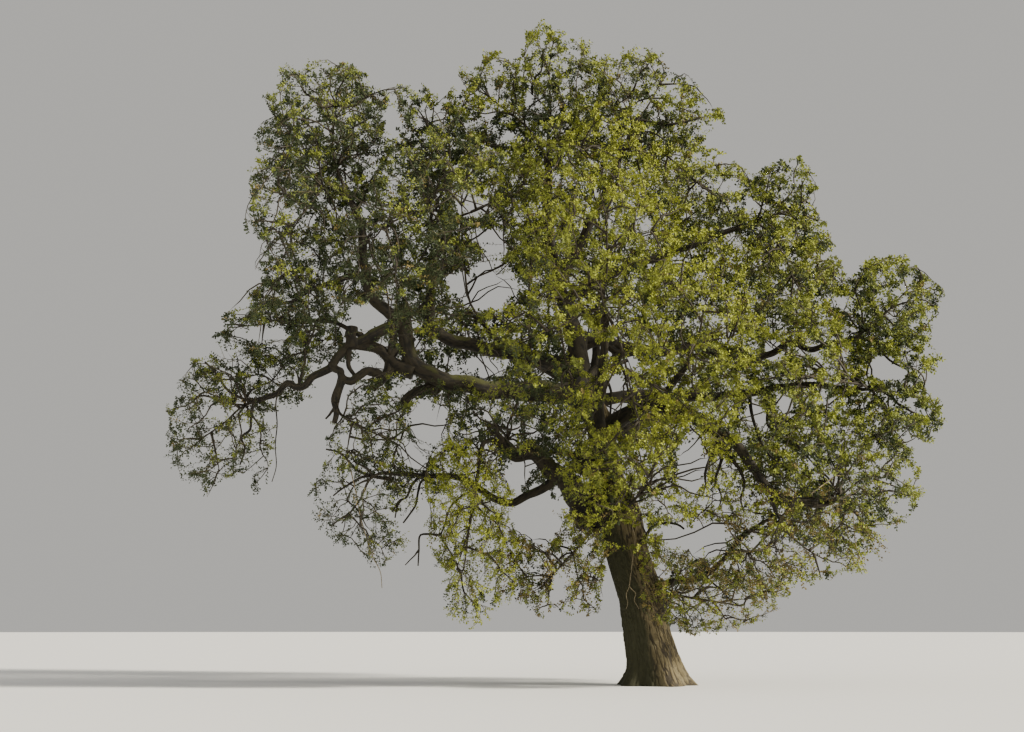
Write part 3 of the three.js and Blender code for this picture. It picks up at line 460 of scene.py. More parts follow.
# Boughs that bend more sharply than their solids
CROOKED_ROUTES = {
    "left_great_bough": ((0.46, 0.17), [
        (-1.37, 0.1, 4.81), (-1.74, -0.15, 5.03), (-2.11, -0.4, 5.39), (-2.44, -0.6, 5.82),
        (-2.8, -0.75, 6.22), (-3.22, -0.86, 6.53), (-3.66, -0.95, 6.73), (-4.15, -1, 6.68),
        (-4.55, -1.1, 7.05)]),
    "far_left_limb": ((0.19, 0.075), [
        (-7.41, -0.9, 10.69), (-7.73, -1, 10.58), (-8.07, -1.15, 10.4), (-8.44, -1.25, 10.19),
        (-8.82, -1.3, 10.03), (-9.05, -1.4, 9.89), (-9.21, -1.45, 9.67), (-9.41, -1.5, 9.42),
        (-9.55, -1.5, 9.21), (-9.81, -1.5, 9.03), (-10.04, -1.5, 8.88), (-10.25, -1.45, 8.65),
        (-10.46, -1.4, 8.58), (-10.68, -1.35, 8.67), (-10.83, -1.3, 8.77), (-10.99, -1.2, 8.66),
        (-11.2, -1.15, 8.46), (-11.45, -1.1, 8.38), (-11.73, -1, 8.31)]),
    "right_upper_bough": ((0.19, 0.08), [
        (-2.3, 0.8, 10.65), (-0.5, 1.4, 10.35), (0.7, 1.5, 10.2), (1.75, 1.6, 10.42), (2.4, 1.5, 10.1),
        (2.9, 1.4, 10.3), (3.35, 1.3, 10), (3.9, 1.2, 10.14), (4.5, 1, 10.45), (5.1, 0.8, 10.2),
        (5.6, 0.6, 10.34), (6.2, 0.3, 10.35)]),
    "low_left_bough": ((0.15, 0.06), [
        (-2.71, -0.68, 6.17), (-3.01, -0.66, 5.93), (-3.33, -0.6, 5.73), (-3.75, -0.5, 5.53),
        (-4.2, -0.4, 5.3), (-5, -0.3, 5.55), (-5.7, -0.6, 6), (-6.75, -1.2, 6.05), (-7.85, -1.8, 6.05)]),
    "loop_limb": ((0.15, 0.11), [
        (-7.23, -1, 9.45), (-7.61, -1.05, 9.32), (-7.87, -1.1, 9.07), (-8.07, -1.2, 8.9),
        (-8.26, -1.35, 8.98), (-8.52, -1.5, 9.03), (-8.73, -1.65, 8.91), (-8.92, -1.75, 8.75),
        (-9.15, -1.85, 8.76), (-9.25, -1.9, 8.57), (-9.31, -1.9, 8.34), (-9.34, -1.9, 8.1)]),
}

# The crown's edge, as x and z on the upright plane through the trunk
CROWN_EDGE = [
    (-14.81, 8), (-14.76, 8.28), (-14.44, 8.74), (-14.34, 9.11), (-13.98, 9.42), (-14.09, 9.82),
    (-14.04, 9.98), (-13.36, 9.92), (-12.98, 9.58), (-12.58, 9.51), (-12.06, 9.45), (-12.53, 9.82),
    (-13.09, 10.01), (-13.41, 10.45), (-13.04, 11.26), (-12.71, 11.33), (-12.42, 11.04),
    (-12.31, 11.39), (-12.45, 11.77), (-12.44, 12.4), (-11.99, 12.91), (-11.7, 13.42), (-12.51, 13.71),
    (-12.38, 14.29), (-12.46, 14.91), (-12.66, 15.33), (-12.56, 15.98), (-12.36, 16.74),
    (-12.16, 17.26), (-11.82, 17.6), (-12.15, 18.03), (-12.16, 18.29), (-11.66, 18.36), (-11.8, 18.96),
    (-11.24, 19.33), (-10.54, 19.43), (-10.12, 19.1), (-9.4, 19.33), (-8.85, 18.89), (-8.65, 18.53),
    (-8.11, 18.23), (-8.01, 17.6), (-8.09, 16.93), (-7.85, 17.79), (-7.99, 18.39), (-7.61, 18.63),
    (-7.1, 18.63), (-6.59, 18.23), (-5.96, 18.23), (-5.97, 19.1), (-5.65, 19.26), (-5.14, 19.23),
    (-5.14, 19.67), (-4.6, 19.77), (-4.22, 19.23), (-3.81, 20), (-3.71, 20.44), (-3.17, 20.72),
    (-2.56, 20.44), (-2.24, 20.11), (-1.61, 20.04), (-1.49, 19.43), (-0.78, 20), (-0.05, 20.11),
    (0.55, 19.67), (0.76, 18.99), (1.36, 18.89), (1.76, 18.46), (1.97, 17.93), (2.47, 17.79),
    (2.52, 17.36), (1.95, 17.03), (2.03, 16.51), (2.34, 16.41), (2.73, 15.88), (3.14, 15.88),
    (3.38, 15.56), (3.55, 15.75), (4.19, 16.18), (4.6, 16.24), (5.09, 16.01), (5.45, 15.56),
    (5.21, 15), (5.25, 14.49), (5.72, 13.74), (5.87, 12.91), (6.27, 12.09), (6.47, 12.56),
    (6.89, 12.91), (7.3, 13.07), (8.01, 12.91), (8.59, 12.28), (9.13, 11.93), (8.94, 11.26),
    (8.7, 10.86), (8.58, 10.32), (9.03, 9.64), (9.01, 9.27), (8.53, 9.33), (8.22, 9.33), (8.41, 8.89),
    (8.55, 8.56), (8.96, 8.25), (9.05, 7.73), (8.84, 7.27), (8.61, 6.97), (8.26, 7.15), (7.94, 7.33),
    (7.83, 7), (7.88, 6.69), (8.07, 6.27), (8.24, 5.52), (7.92, 5.13), (7.59, 4.65), (7.18, 4.17),
    (7.15, 3.58), (7.02, 2.76), (6.85, 2.29), (6.33, 2.41), (6.3, 3.05), (5.97, 3.14), (5.1, 2.82),
    (4.12, 2.82), (3.86, 2.11), (3.1, 1.42), (1.32, 1.3), (0.42, 1.65), (-0.14, 1.77), (-0.43, 2.47),
    (-0.5, 3.46), (-0.58, 3.97), (-1.24, 3.97), (-1.45, 3.58), (-1.49, 2.47), (-1.68, 1.88),
    (-2.68, 1.88), (-2.91, 2.76), (-3.01, 1.88), (-4.4, 1.88), (-4.63, 1.48), (-6.64, 1.48),
    (-6.83, 3.05), (-7.18, 2.29), (-8.01, 2.23), (-8.39, 3.46), (-9.02, 3.88), (-9.68, 4.17),
    (-10.39, 5.07), (-10.7, 5.49), (-10.94, 5.28), (-11.9, 5.28), (-12.25, 6.09), (-13.15, 5.94),
    (-13.46, 5.43), (-13.86, 5.76), (-14.68, 6.63),
]

# Gaps where sky shows through the crown, on the same plane: middle x and z, half width, half height
SKY_GAPS = [
    (-5.08, 11.93, 0.98, 0.85), (-4.84, 13.26, 0.43, 0.48), (-5, 9.42, 0.66, 0.31),
    (-8.55, 11.11, 0.58, 0.47), (-8.63, 9.65, 0.47, 0.29), (-8.21, 10.23, 0.26, 0.22),
    (-7.43, 10.21, 0.33, 0.27), (-7.47, 8.84, 0.27, 0.43), (-6.73, 7.73, 0.63, 0.67),
    (-10.47, 6.48, 0.17, 1.06), (-3.47, 4.88, 0.75, 0.79), (-3.96, 6.36, 0.41, 0.45),
    (-1.11, 8.13, 0.54, 0.49), (1.19, 6.54, 0.46, 0.94), (3.12, 7.91, 0.32, 0.43),
    (1.45, 4.24, 0.85, 0.59), (7.22, 9.39, 0.6, 0.43), (-0.08, 13.97, 0.17, 0.32),
    (2.44, 13.73, 0.21, 0.24), (3.21, 14.7, 0.24, 0.38), (5.75, 11.48, 0.19, 0.18),
    (7.48, 11.07, 0.19, 0.18), (-0.88, 4.38, 0.54, 0.38), (-8, 17.4, 0.24, 0.73),
    (-5.4, 14.59, 0.56, 0.33), (-5.08, 13.59, 0.5, 0.28), (-7.08, 6.79, 0.45, 0.46),
    (-1.18, 8.77, 0.37, 0.37), (-12.27, 12.28, 0.33, 0.45), (-11.75, 10.45, 0.6, 0.31),
    (-1.76, 9.47, 0.26, 0.39), (-0.96, 8.87, 0.34, 0.4), (-1.46, 7.91, 0.28, 0.49),
    (-0.58, 9.59, 0.28, 0.23), (-1.38, 10.07, 1.02, 0.28), (-9, 10.57, 0.48, 0.43),
    (3.79, 9.91, 0.26, 0.41), (4.11, 8.34, 0.31, 0.31),
]

# Each piece of leaves: its material slot, and the masses in it
SECTIONS = {
    "left": ("leaves_shade", ["far_left", "left_shelf", "left_lobe", "low_left", "under_bough",
                              "left_inner"]),
    "left_high": ("leaves_olive", ["left_side", "top_left", "left_spire"]),
    "upper_left": ("leaves_olive", ["left_front", "left_middle", "top_shoulder", "back_upper_left"]),
    "top": ("leaves_bright", ["top", "upper_front", "top_right", "upper_right", "back_top"]),
    "front": ("leaves_bright", ["centre_right", "centre_front", "front_left"]),
    "front_low": ("leaves_bright", ["front_heart", "front_low", "left_hanging", "fork_hanging"]),
    "right": ("leaves_bright", ["right_shoulder", "right_front", "far_right_upper", "far_right"]),
    "right_low": ("leaves_olive", ["right_inner", "right_lower", "right_skirt", "low_right"]),
    "back_left": ("leaves_shade", ["back_left", "back_middle"]),
    "back_right": ("leaves_olive", ["back_right", "back_low_right", "back_low"]),
}
# How much grows in a mass for its room, where that isn't 1
FULLNESS = {
    "far_left": 0.95, "left_shelf": 0.95, "left_lobe": 1.05, "left_side": 1.35, "top_left": 1.4,
    "left_spire": 1.3, "left_front": 1.45, "top": 1.15, "top_shoulder": 1.15, "top_right": 1.2,
    "upper_right": 1.1, "left_hanging": 2.1, "front_low": 1.95, "front_heart": 1.4, "front_left": 1.2,
    "centre_front": 1.2, "centre_right": 1.2, "right_shoulder": 1.3, "right_front": 1.25,
    "far_right_upper": 1.35, "far_right": 1.4, "right_inner": 1.6, "right_lower": 1.5,
    "right_skirt": 1.3, "low_right": 2.2, "under_bough": 1.3, "low_left": 0.9, "left_inner": 1.5,
    "fork_hanging": 2.1, "back_left": 0.72, "back_middle": 0.62, "back_right": 0.66,
    "back_low_right": 0.62, "back_low": 0.6, "back_upper_left": 0.85, "back_top": 0.95,
}
# How far a mass may fill the room towards its neighbours and the crown's middle, as a share of its size,
# where that isn't INNER_SPREAD
INNER_SPREADS = {
    "left_lobe": 1.3, "left_side": 1.2, "left_front": 1.2, "top_left": 1.0, "under_bough": 1.1,
    "right_inner": 1.3, "right_skirt": 0.8, "right_lower": 1.2, "left_inner": 1.0, "front_heart": 1.0,
    "front_low": 1.1, "far_right_upper": 0.9, "low_right": 1.0, "fork_hanging": 0.9,
}
# Leaves are smaller low down and on the left, where the crown is open, and larger on the right and back
LEAF_SCALES = {
    "far_left": 0.85, "left_shelf": 0.88, "left_lobe": 0.9, "low_left": 0.82, "under_bough": 0.88,
    "left_inner": 0.9, "low_right": 0.75, "left_hanging": 0.9, "fork_hanging": 0.85, "right_skirt": 0.9,
    "front_low": 0.9, "front_heart": 0.93, "far_right": 1.1, "far_right_upper": 1.08,
    "right_shoulder": 1.08, "back_left": 1.15, "back_middle": 1.2, "back_right": 1.15,
    "back_low_right": 1.15, "back_low": 1.15,
}
# How far shoots hang, 0 for a dome and 1 for a curtain: a little in most masses, more in these
HANGING_MOST = 0.25
HANGING = {
    "left_hanging": 0.9, "front_low": 0.6, "fork_hanging": 0.8, "low_left": 0.6, "right_skirt": 0.5,
    "low_right": 0.6, "far_left": 0.4, "under_bough": 0.5, "front_heart": 0.3, "back_low": 0.4,
}
# The left side lies in shade, so its sprays carry painted shade, and on the crown's rim they are duller than
# in its middle: both are darker than the solids' tint says
PAINTED_SHADE_AND_RIM_TINTS = {
    "left_shelf": "shade", "left_lobe": "shade", "left_side": "shade", "top_left": "shade",
    "left_front": "shade", "left_spire": "shade", "under_bough": "shade", "top_shoulder": "dull",
    "top": "dull", "top_right": "dull", "right_shoulder": "dull", "far_right_upper": "dull",
    "far_right": "dull", "right_front": "olive", "upper_right": "olive", "right_lower": "dull",
    "left_middle": "olive",
}
# Shares of the five leaf colours in each tint's sprays: lit, bright, olive, shade (painted light to painted
# shade), brown
TINT_SHARES = {
    "bright": (0.38, 0.37, 0.19, 0.04, 0.02),
    "olive": (0.12, 0.28, 0.36, 0.22, 0.02),
    "dull": (0.04, 0.19, 0.37, 0.38, 0.02),
    "shade": (0.00, 0.04, 0.22, 0.72, 0.02),
    "brown": (0.05, 0.16, 0.30, 0.17, 0.32),
}
# Each piece of boughs, and how mossy a bough is
BOUGH_PIECES = {
    "left_boughs": ["left_great_bough", "lower_left_bough", "upper_left_bough", "low_left_bough",
                    "left_rising_limb", "left_column_limb", "far_left_limb", "loop_limb",
                    "left_lobe_limb"],
    "right_boughs": ["right_heavy_bough", "right_mid_bough", "right_upper_bough", "low_right_bough",
                     "right_shoulder_limb", "front_right_limb"],
    "middle_boughs": ["leader", "front_bough", "back_bough", "upper_right_limb", "back_left_limb",
                      "back_right_limb"],
}
MOSSY = {"lower_left_bough": 0.8, "upper_left_bough": 1.0, "left_great_bough": 0.6, "loop_limb": 0.5,
         "far_left_limb": 0.5, "low_left_bough": 0.6, "left_column_limb": 0.4}


# Small helpers

def unit(vectors):
    """Each vector divided by its own length."""
    vectors = np.asarray(vectors, float)
    return vectors / np.maximum(np.linalg.norm(vectors, axis=-1, keepdims=True), 1e-9)


def blend(start, end, share):
    """start + (end - start) * share."""
    return start + (end - start) * share


def eased(values, low, high):
    """t * t * (3 - 2 * t), where t runs from 0 at low to 1 at high."""
    t = np.clip((values - low) / (high - low), 0, 1)
    return t * t * (3 - 2 * t)


def turned(vector, axis, angle):
    """The vector turned about a unit axis: v cos a + (axis x v) sin a + axis (axis . v)(1 - cos a)."""
    along = axis * np.dot(axis, vector) * (1 - math.cos(angle))
    return vector * math.cos(angle) + np.cross(axis, vector) * math.sin(angle) + along


def source_numbers(seed):
    """The source's own seeded numbers from 0 to 1, by mixing the bits of a 32-bit count."""
    state = seed
    while True:
        state = (state + 0x6D2B79F5) & WORD
        mixed = ((state ^ (state >> 15)) * (1 | state)) & WORD
        mixed = ((mixed + (mixed ^ (mixed >> 7)) * (61 | mixed)) & WORD) ^ mixed
        yield (mixed ^ (mixed >> 14)) / (WORD + 1)


# The numbers from 0 to 255 in a seeded order, from which the noise takes its values
SHUFFLED = np.random.default_rng(SEED).permutation(256)


def mottle(places, seed):
    """Smooth noise from 0 to 1: random values at whole-number corners, blended by eased steps between."""
    corner = np.floor(places).astype(int)
    share = places - corner
    share = share * share * (3 - 2 * share)
    total = np.zeros(places.shape[:-1])
    for step in range(8):
        offset = np.array([step & 1, (step >> 1) & 1, step >> 2])
        cell = (corner + offset + seed * 17) & 255
        row = SHUFFLED[(SHUFFLED[cell[..., 0]] + cell[..., 1]) & 255]
        value = SHUFFLED[(row + cell[..., 2]) & 255] / 255
        total += value * np.prod(np.where(offset, share, 1 - share), axis=-1)
    return total


def arc(start, middle, end, t):
    """(1 - t)^2 start + 2 (1 - t) t middle + t^2 end."""
    return (1 - t) ** 2 * start + 2 * (1 - t) * t * middle + t ** 2 * end


def evenly(path, count):
    """The path's places taken at even steps of its length."""
    length = np.concatenate([[0], np.cumsum(np.linalg.norm(np.diff(path, axis=0), axis=1))])
    wanted = np.linspace(0, length[-1], count)
    return np.column_stack([np.interp(wanted, length, path[:, axis]) for axis in range(3)])


def path_length(path):
    """The distances between neighbouring places, added up."""
    return np.linalg.norm(np.diff(path, axis=0), axis=1).sum()


def smooth_path(route, count):
    """A centripetal Catmull-Rom curve: on each span a cubic whose end slopes weigh the neighbouring
    spans by the square roots of their lengths."""
    places = np.array(route, float)
    padded = np.vstack([2 * places[0] - places[1], places, 2 * places[-1] - places[-2]])
    before, start, end, after = padded[:-3], padded[1:-2], padded[2:-1], padded[3:]
    step_in = np.linalg.norm(start - before, axis=1)[:, None] ** 0.5
    step = np.linalg.norm(end - start, axis=1)[:, None] ** 0.5
    step_out = np.linalg.norm(after - end, axis=1)[:, None] ** 0.5
    leaving = ((start - before) / step_in - (end - before) / (step_in + step) + (end - start) / step) * step
    arriving = ((end - start) / step - (after - start) / (step + step_out) + (after - end) / step_out) * step
    t = np.linspace(0, 1, SPAN_STEPS, endpoint=False)[None, :, None]
    square = (-3 * start + 3 * end - 2 * leaving - arriving)[:, None] * t ** 2
    cube = (2 * start - 2 * end + leaving + arriving)[:, None] * t ** 3
    curve = start[:, None] + leaving[:, None] * t + square + cube
    return evenly(np.vstack([curve.reshape(-1, 3), places[-1]]), count)


def path_frames(path):
    """Tangent, aside and across at each place: two crosswise directions carried along without twist."""
    tangents = unit(np.gradient(path, axis=0))
    smallest = np.zeros(3)
    smallest[np.argmin(np.abs(tangents[0]))] = 1
    across = unit(np.cross(tangents[0], unit(np.cross(tangents[0], smallest))))
    rows = [across]
    for tangent in tangents[1:]:
        across = unit(across - tangent * np.dot(across, tangent))
        rows.append(across)
    across = np.array(rows)
    return tangents, np.cross(tangents, across), across


# Shapes as plain arrays: places, and faces as lists of corner numbers

class Shape:
    """Places and faces gathered from several surfaces, with numbers kept at each place."""

    def __init__(self):
        self.places = []
        self.faces = []
        self.marks = {}
        self.count = 0

    def add(self, places, faces, **marks):
        """Adds a surface: its places, arrays of faces, and values at its places by name."""
        self.places.append(places)
        self.faces.extend(np.asarray(face) + self.count for face in faces)
        for name, values in marks.items():
            self.marks.setdefault(name, []).append(values)
        self.count += len(places)

    def piece(self, name, finishes, replaced=(), finish_numbers=None, smooth=True):
        """Makes the mesh object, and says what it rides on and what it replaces."""
        mesh = bpy.data.meshes.new(name)
        places = np.concatenate(self.places).astype(np.float32)
        mesh.vertices.add(len(places))
        mesh.vertices.foreach_set("co", places.ravel())
        corners = np.concatenate([face.ravel() for face in self.faces])
        sizes = np.concatenate([np.full(len(face), face.shape[1]) for face in self.faces])
        mesh.loops.add(len(corners))
        mesh.loops.foreach_set("vertex_index", corners.astype(np.int32))
        mesh.polygons.add(len(sizes))
        starts = np.concatenate([[0], np.cumsum(sizes)[:-1]])
        mesh.polygons.foreach_set("loop_start", starts.astype(np.int32))
        if finish_numbers is not None:
            mesh.polygons.foreach_set("material_index", finish_numbers.astype(np.int32))
        mesh.polygons.foreach_set("use_smooth", np.full(len(sizes), smooth))
        mesh.update(calc_edges=True)
        for mark, values in self.marks.items():
            layer = mesh.attributes.new(mark, "FLOAT", "POINT")
            layer.data.foreach_set("value", np.concatenate(values).astype(np.float32))
        for finish in finishes:
            mesh.materials.append(finish)
        made = bpy.data.objects.new(name, mesh)
        bpy.context.scene.collection.objects.link(made)
        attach(made, "root")
        if replaced:
            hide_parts(*replaced)
        return made


def wrapped_faces(rings, sides):
    """Four-cornered faces between neighbouring rings, and three-cornered ones to a pole at either end.
    The places are the rings in order, then the foot's pole, then the tip's."""
    ring, side = np.meshgrid(np.arange(rings - 1), np.arange(sides), indexing="ij")
    here = ring * sides + side
    beside = ring * sides + (side + 1) % sides
    walls = np.stack([here, beside, beside + sides, here + sides], axis=-1).reshape(-1, 4)
    side = np.arange(sides)
    beside = (side + 1) % sides
    last = (rings - 1) * sides
    foot = np.stack([np.full(sides, rings * sides), beside, side], axis=-1)
    tip = np.stack([np.full(sides, rings * sides + 1), last + side, last + beside], axis=-1)
    return walls, foot, tip


# Wood

def bark_relief(angles, run, girth, seed):
    """Furrows where two stretched noises pass their middle values, with finer cracks across them.
    Returns the height from -1 to 0.4, and how near each place is to a crest, 0 to 1. The noise is read
    on a circle of the limb's girth, so it meets itself all round."""
    circle = np.stack([np.cos(angles) * girth, np.sin(angles) * girth, run], axis=-1)
    weave = mottle(circle * WEAVE_GRAIN, seed)[..., None] * 1.6
    narrow = mottle(circle * CRACK_GRAIN + weave, seed + 2)
    broad = blend(mottle(circle * FURROW_GRAIN + weave, seed + 1), narrow, 0.3)
    plates = mottle(circle * PLATE_GRAIN, seed + 3)
    furrow = 1 - eased(np.abs(2 * broad - 1), 0.0, 0.24)
    crack = 1 - eased(np.abs(2 * narrow - 1), 0.0, 0.22)
    height = 0.4 * plates - furrow - 0.45 * crack * (1 - furrow)
    crest = np.clip(1 - 0.9 * furrow - 0.4 * crack, 0, 1)
    return height, crest


def with_knots(radius, run, angles, count, seed):
    """The radius with bell-shaped knots, exp(-distance^2), at seeded places round and along the limb."""
    rng = np.random.default_rng(SEED + 100 + seed)
    length = run[-1, 0]
    for _ in range(count):
        at = rng.uniform(0.1, 0.95) * length
        facing = rng.uniform(0, 2 * np.pi)
        size = radius[int(at / length * (len(run) - 1)), 0]
        turn = np.angle(np.exp(1j * (angles - facing)))
        apart = np.hypot((run - at) / (KNOT_LENGTH * size), turn / KNOT_WIDTH)
        radius = radius + KNOT_HEIGHT * size * np.exp(-apart ** 2)
    return radius


def moss_and_painted_trunk_shade(places, spokes, amount, seed, is_trunk):
    """How mossy each place is, 0 to 1, in patches of smooth noise, on a limb its upper side. On the trunk
    the same mark is painted shade instead, on the side that faces -X, away from the key light."""
    patch = eased(mottle(places * MOSS_GRAIN, seed + 9), 0.30, 0.62)
    if is_trunk:
        side = np.clip(0.45 - 0.9 * spokes[..., 0], 0, 1)
        cover = 0.75 + 0.25 * patch
    else:
        side = np.clip(spokes[..., 2], 0, 1) ** 0.6
        cover = 0.35 + patch
    return np.clip(amount * side * cover, 0, 1)


def add_limb(shape, path, radii, sides, seed, depth, crook=0.0, phase=0.0, collar=0.3, moss=0.0, knots=0,
             power=0.8, blunt=0.35, trunk_radius=None):
    """A ring of places carried along the path. Its middle swings crook * sin(pi s) * sin(7 s + phase)
    aside and crook * sin(pi s) * cos(5 s + 2 phase) across, and strays a little more in shorter waves.
    Its radius falls from foot to tip as s to a power, swells as exp(-run / 2 radii) into the collar at its
    foot and by knots here and there, and the bark's relief is added along each spoke. A trunk takes its
    radius from a function of facing and height instead, and its lowest rings are levelled for its cut."""
    is_trunk = trunk_radius is not None
    rings = len(path)
    share = np.linspace(0, 1, rings)[:, None]
    run = share * path_length(path)
    angles = np.linspace(0, 2 * np.pi, sides, endpoint=False)[None, :]
    tangents, aside, across = path_frames(path)
    spokes = aside[:, None] * np.cos(angles)[..., None] + across[:, None] * np.sin(angles)[..., None]
    swing = crook * np.sin(np.pi * share)
    middle = (path + aside * swing * np.sin(7 * share + phase)
              + across * swing * np.cos(5 * share + 2 * phase))
    if is_trunk:
        facing = np.arctan2(spokes[..., 1], spokes[..., 0])
        radius = trunk_radius(facing, middle[:, 2:3] * np.ones_like(angles))
    else:
        radius = blend(radii[0], radii[1], share ** power)
        wave = np.sin(2 * np.pi * run / STRAY_RUN + phase * 3)
        stray = STRAY * radius * np.sin(np.pi * share) * wave
        middle = middle + aside * stray + across * 0.6 * np.roll(stray, rings // 7, axis=0)
        radius = radius * np.ones_like(angles) * (1 + collar * np.exp(-run / (2 * radii[0])))
    radius = with_knots(radius, run, angles, knots, seed)
    height, crest = bark_relief(angles * np.ones_like(run), run * np.ones_like(angles),
                                float(np.mean(radii)), seed)
    radius = radius + depth * height
    places = middle[:, None] + spokes * radius[..., None]
    foot = middle[0]
    if is_trunk:
        tilt = places[..., 2] - middle[:, 2:3]
        places[..., 2] = middle[:, 2:3] + tilt * eased(middle[:, 2:3], 0.0, LEVEL_BELOW)
        foot = foot * (1, 1, 0)
    tip = middle[-1] + tangents[-1] * radii[1] * blunt
    moss_and_shade_share = moss_and_painted_trunk_shade(places, spokes, moss, seed, is_trunk)
    shape.add(
        np.vstack([places.reshape(-1, 3), foot, tip]), wrapped_faces(rings, sides),
        crest=np.concatenate([crest.ravel(), [0.3, 0.6]]), moss=np.concatenate([moss_and_shade_share.ravel(), [0, 0]]),
    )


def trunk_girth(angle, height):
    """shaft + swell * exp(-((h - fork) / spread)^2) + flare * exp(-h / flare height) * ridge, where the
    shaft eases to its tip radius and ridge is 1 + depth * cos(5 angle + 0.6 sin(2 angle)). Toes stand out
    round the foot as cos(11 angle) and fade with height, and shallow flutes wind up the shaft."""
    shaft = blend(SHAFT_RADIUS, TRUNK_TIP_RADIUS, eased(height, *SHAFT_TAPERS))
    swell = FORK_SWELL * np.exp(-(((height - FORK_HEIGHT) / FORK_SPREAD) ** 2))
    ridge = 1 + ROOT_RIDGE_DEPTH * np.cos(ROOT_RIDGES * angle + 0.6 * np.sin(2 * angle))
    above = np.maximum(height, 0)
    toes = TOE_DEPTH * np.cos(11 * angle + 1.3) * np.exp(-above / TOE_HEIGHT)
    flutes = FLUTE_DEPTH * np.sin(4 * angle + 0.5 * height) * np.sin(0.9 * height + 0.4)
    return shaft + swell + FLARE * np.exp(-above / FLARE_HEIGHT) * ridge + toes + flutes


def ring_count(length, step, least):
    """A ring for each step of the length, and no fewer than the least."""
    return max(least, int(length / step))


def side_count(radius, most):
    """More sides on a thicker limb, within limits."""
    return int(np.clip(radius * SIDES_PER_METRE, LEAST_SIDES, most))


def make_trunk(finish):
    """The trunk, with its radius from trunk_girth and fine enough for every furrow to be a form."""
    shape = Shape()
    # On the trunk the moss mark is painted shade, on the side that faces -X
    add_limb(shape, smooth_path(TRUNK_ROUTE, TRUNK_RINGS), (SHAFT_RADIUS, TRUNK_TIP_RADIUS), TRUNK_SIDES,
             seed=1, depth=0.042, moss=1.0, trunk_radius=trunk_girth)
    return shape.piece("trunk_bark", [finish], ["trunk"])


def make_boughs(name, chosen, finish):
    """Boughs on the solids' lines, or on their own more crooked ones, as one piece."""
    shape = Shape()
    order = list(BOUGHS)
    for bough in chosen:
        radii, route = CROOKED_ROUTES.get(bough, BOUGHS[bough])
        number = order.index(bough)
        rings = ring_count(path_length(smooth_path(route, 40)), BOUGH_STEP, 8)
        sides = side_count(radii[0], MOST_BOUGH_SIDES)
        add_limb(shape, smooth_path(route, rings), radii, sides, seed=number + 3,
                 depth=min(0.03, 0.11 * radii[1]), crook=CROOK * radii[1], phase=number * 1.7,
                 moss=MOSSY.get(bough, 0.0), knots=max(LEAST_KNOTS, rings // RINGS_PER_KNOT))
    return shape.piece(name, [finish], chosen)


def make_side_limbs(finish):
    """The bare side branches, stubs and hanging branches that show between the masses."""
    shape = Shape()
    for number, (radii, route) in enumerate(SIDE_LIMBS.values()):
        rings = ring_count(path_length(np.array(route)), SIDE_LIMB_STEP, 6)
        sides = side_count(radii[0], MOST_SIDE_LIMB_SIDES)
        add_limb(shape, smooth_path(route, rings), radii, sides, seed=number + 40, depth=0.1 * radii[1],
                 crook=0.5 * radii[1], phase=number * 2.3, collar=0.35, moss=0.15, knots=LEAST_KNOTS,
                 blunt=0.15)
    return shape.piece("side_limbs", [finish])


def make_dead_twigs(finish):
    """Thin bare twigs that hang in front of the trunk and under the skirts."""
    shape = Shape()
    for number, (radii, route) in enumerate(DEAD_TWIGS.values()):
        rings = ring_count(path_length(np.array(route)), DEAD_TWIG_STEP, 8)
        add_limb(shape, smooth_path(route, rings), radii, 6, seed=number + 80, depth=0.001, crook=0.02,
                 phase=number * 1.9, collar=0.2, blunt=0.2)
    return shape.piece("dead_twigs", [finish])


def make_sawn_end(finish):
    """The round sawn face that closes the stub at the middle of the crown, slightly domed:
    rings of places at even radii, lifted as 1 - r * r."""
    radii, route = SIDE_LIMBS["sawn_stub"]
    route = np.array(route)
    rings, sides = 10, 28
    heading = unit(route[-1] - route[-2])
    aside = unit(np.cross(heading, UP))
    across = np.cross(heading, aside)
    shares = np.linspace(1, 0.08, rings)[:, None]
    angles = np.linspace(0, 2 * np.pi, sides, endpoint=False)[None, :]
    wobble = 1 + 0.05 * np.sin(3 * angles + 1) + 0.03 * np.sin(5 * angles)
    flat = shares * wobble * radii[1] * 0.97
    lift = 0.04 + 0.012 * (1 - shares ** 2) * np.ones_like(angles)
    places = (route[-1] + aside * (flat * np.cos(angles))[..., None]
              + across * (flat * np.sin(angles))[..., None] + heading * lift[..., None])
    shape = Shape()
    shape.add(
        np.vstack([places.reshape(-1, 3), route[-1] - heading * 0.02, places[-1].mean(axis=0)]),
        wrapped_faces(rings, sides),
        ring=np.concatenate([(shares * np.ones_like(angles)).ravel(), [1, 0]]),
    )
    return shape.piece("sawn_end", [finish])


# Where leaves may be

def seen_from_eye(places):
    """Where each place shows, as x and z on the upright plane through the trunk: the eye plus the ray
    to the place, stretched until it meets that plane."""
    stretch = -EYE[1] / (places[..., 1] - EYE[1])
    return EYE[[0, 2]] + (places[..., [0, 2]] - EYE[[0, 2]]) * stretch[..., None]


def is_within_edge(seen):
    """Whether each seen place lies inside the crown's edge: a ray to the right crosses the edge an odd
    number of times."""
    edge = np.array(CROWN_EDGE)
    after = np.roll(edge, -1, axis=0)
    spans = (edge[None, :, 1] > seen[:, 1:]) != (after[None, :, 1] > seen[:, 1:])
    rise = np.where(after[:, 1] == edge[:, 1], 1e-9, after[:, 1] - edge[:, 1])
    crossing = edge[:, 0] + (seen[:, 1:] - edge[None, :, 1]) * (after[:, 0] - edge[:, 0]) / rise
    return (spans & (seen[:, :1] < crossing)).sum(axis=1) % 2 == 1


def gap_depth(seen):
    """How far inside a sky gap each seen place lies: the lowest of the rounded distances, 1 at a rim,
    stretched and shrunk by noise so that a rim is ragged."""
    gaps = np.array(SKY_GAPS)
    offset = (seen[..., None, :] - gaps[:, :2]) / gaps[:, 2:]
    ragged = mottle(np.stack([seen[..., 0] * 2.6, seen[..., 1] * 2.6, seen[..., 0] * 0.0], axis=-1), 31)
    return np.linalg.norm(offset, axis=-1).min(axis=-1) * (0.72 + 0.64 * ragged)


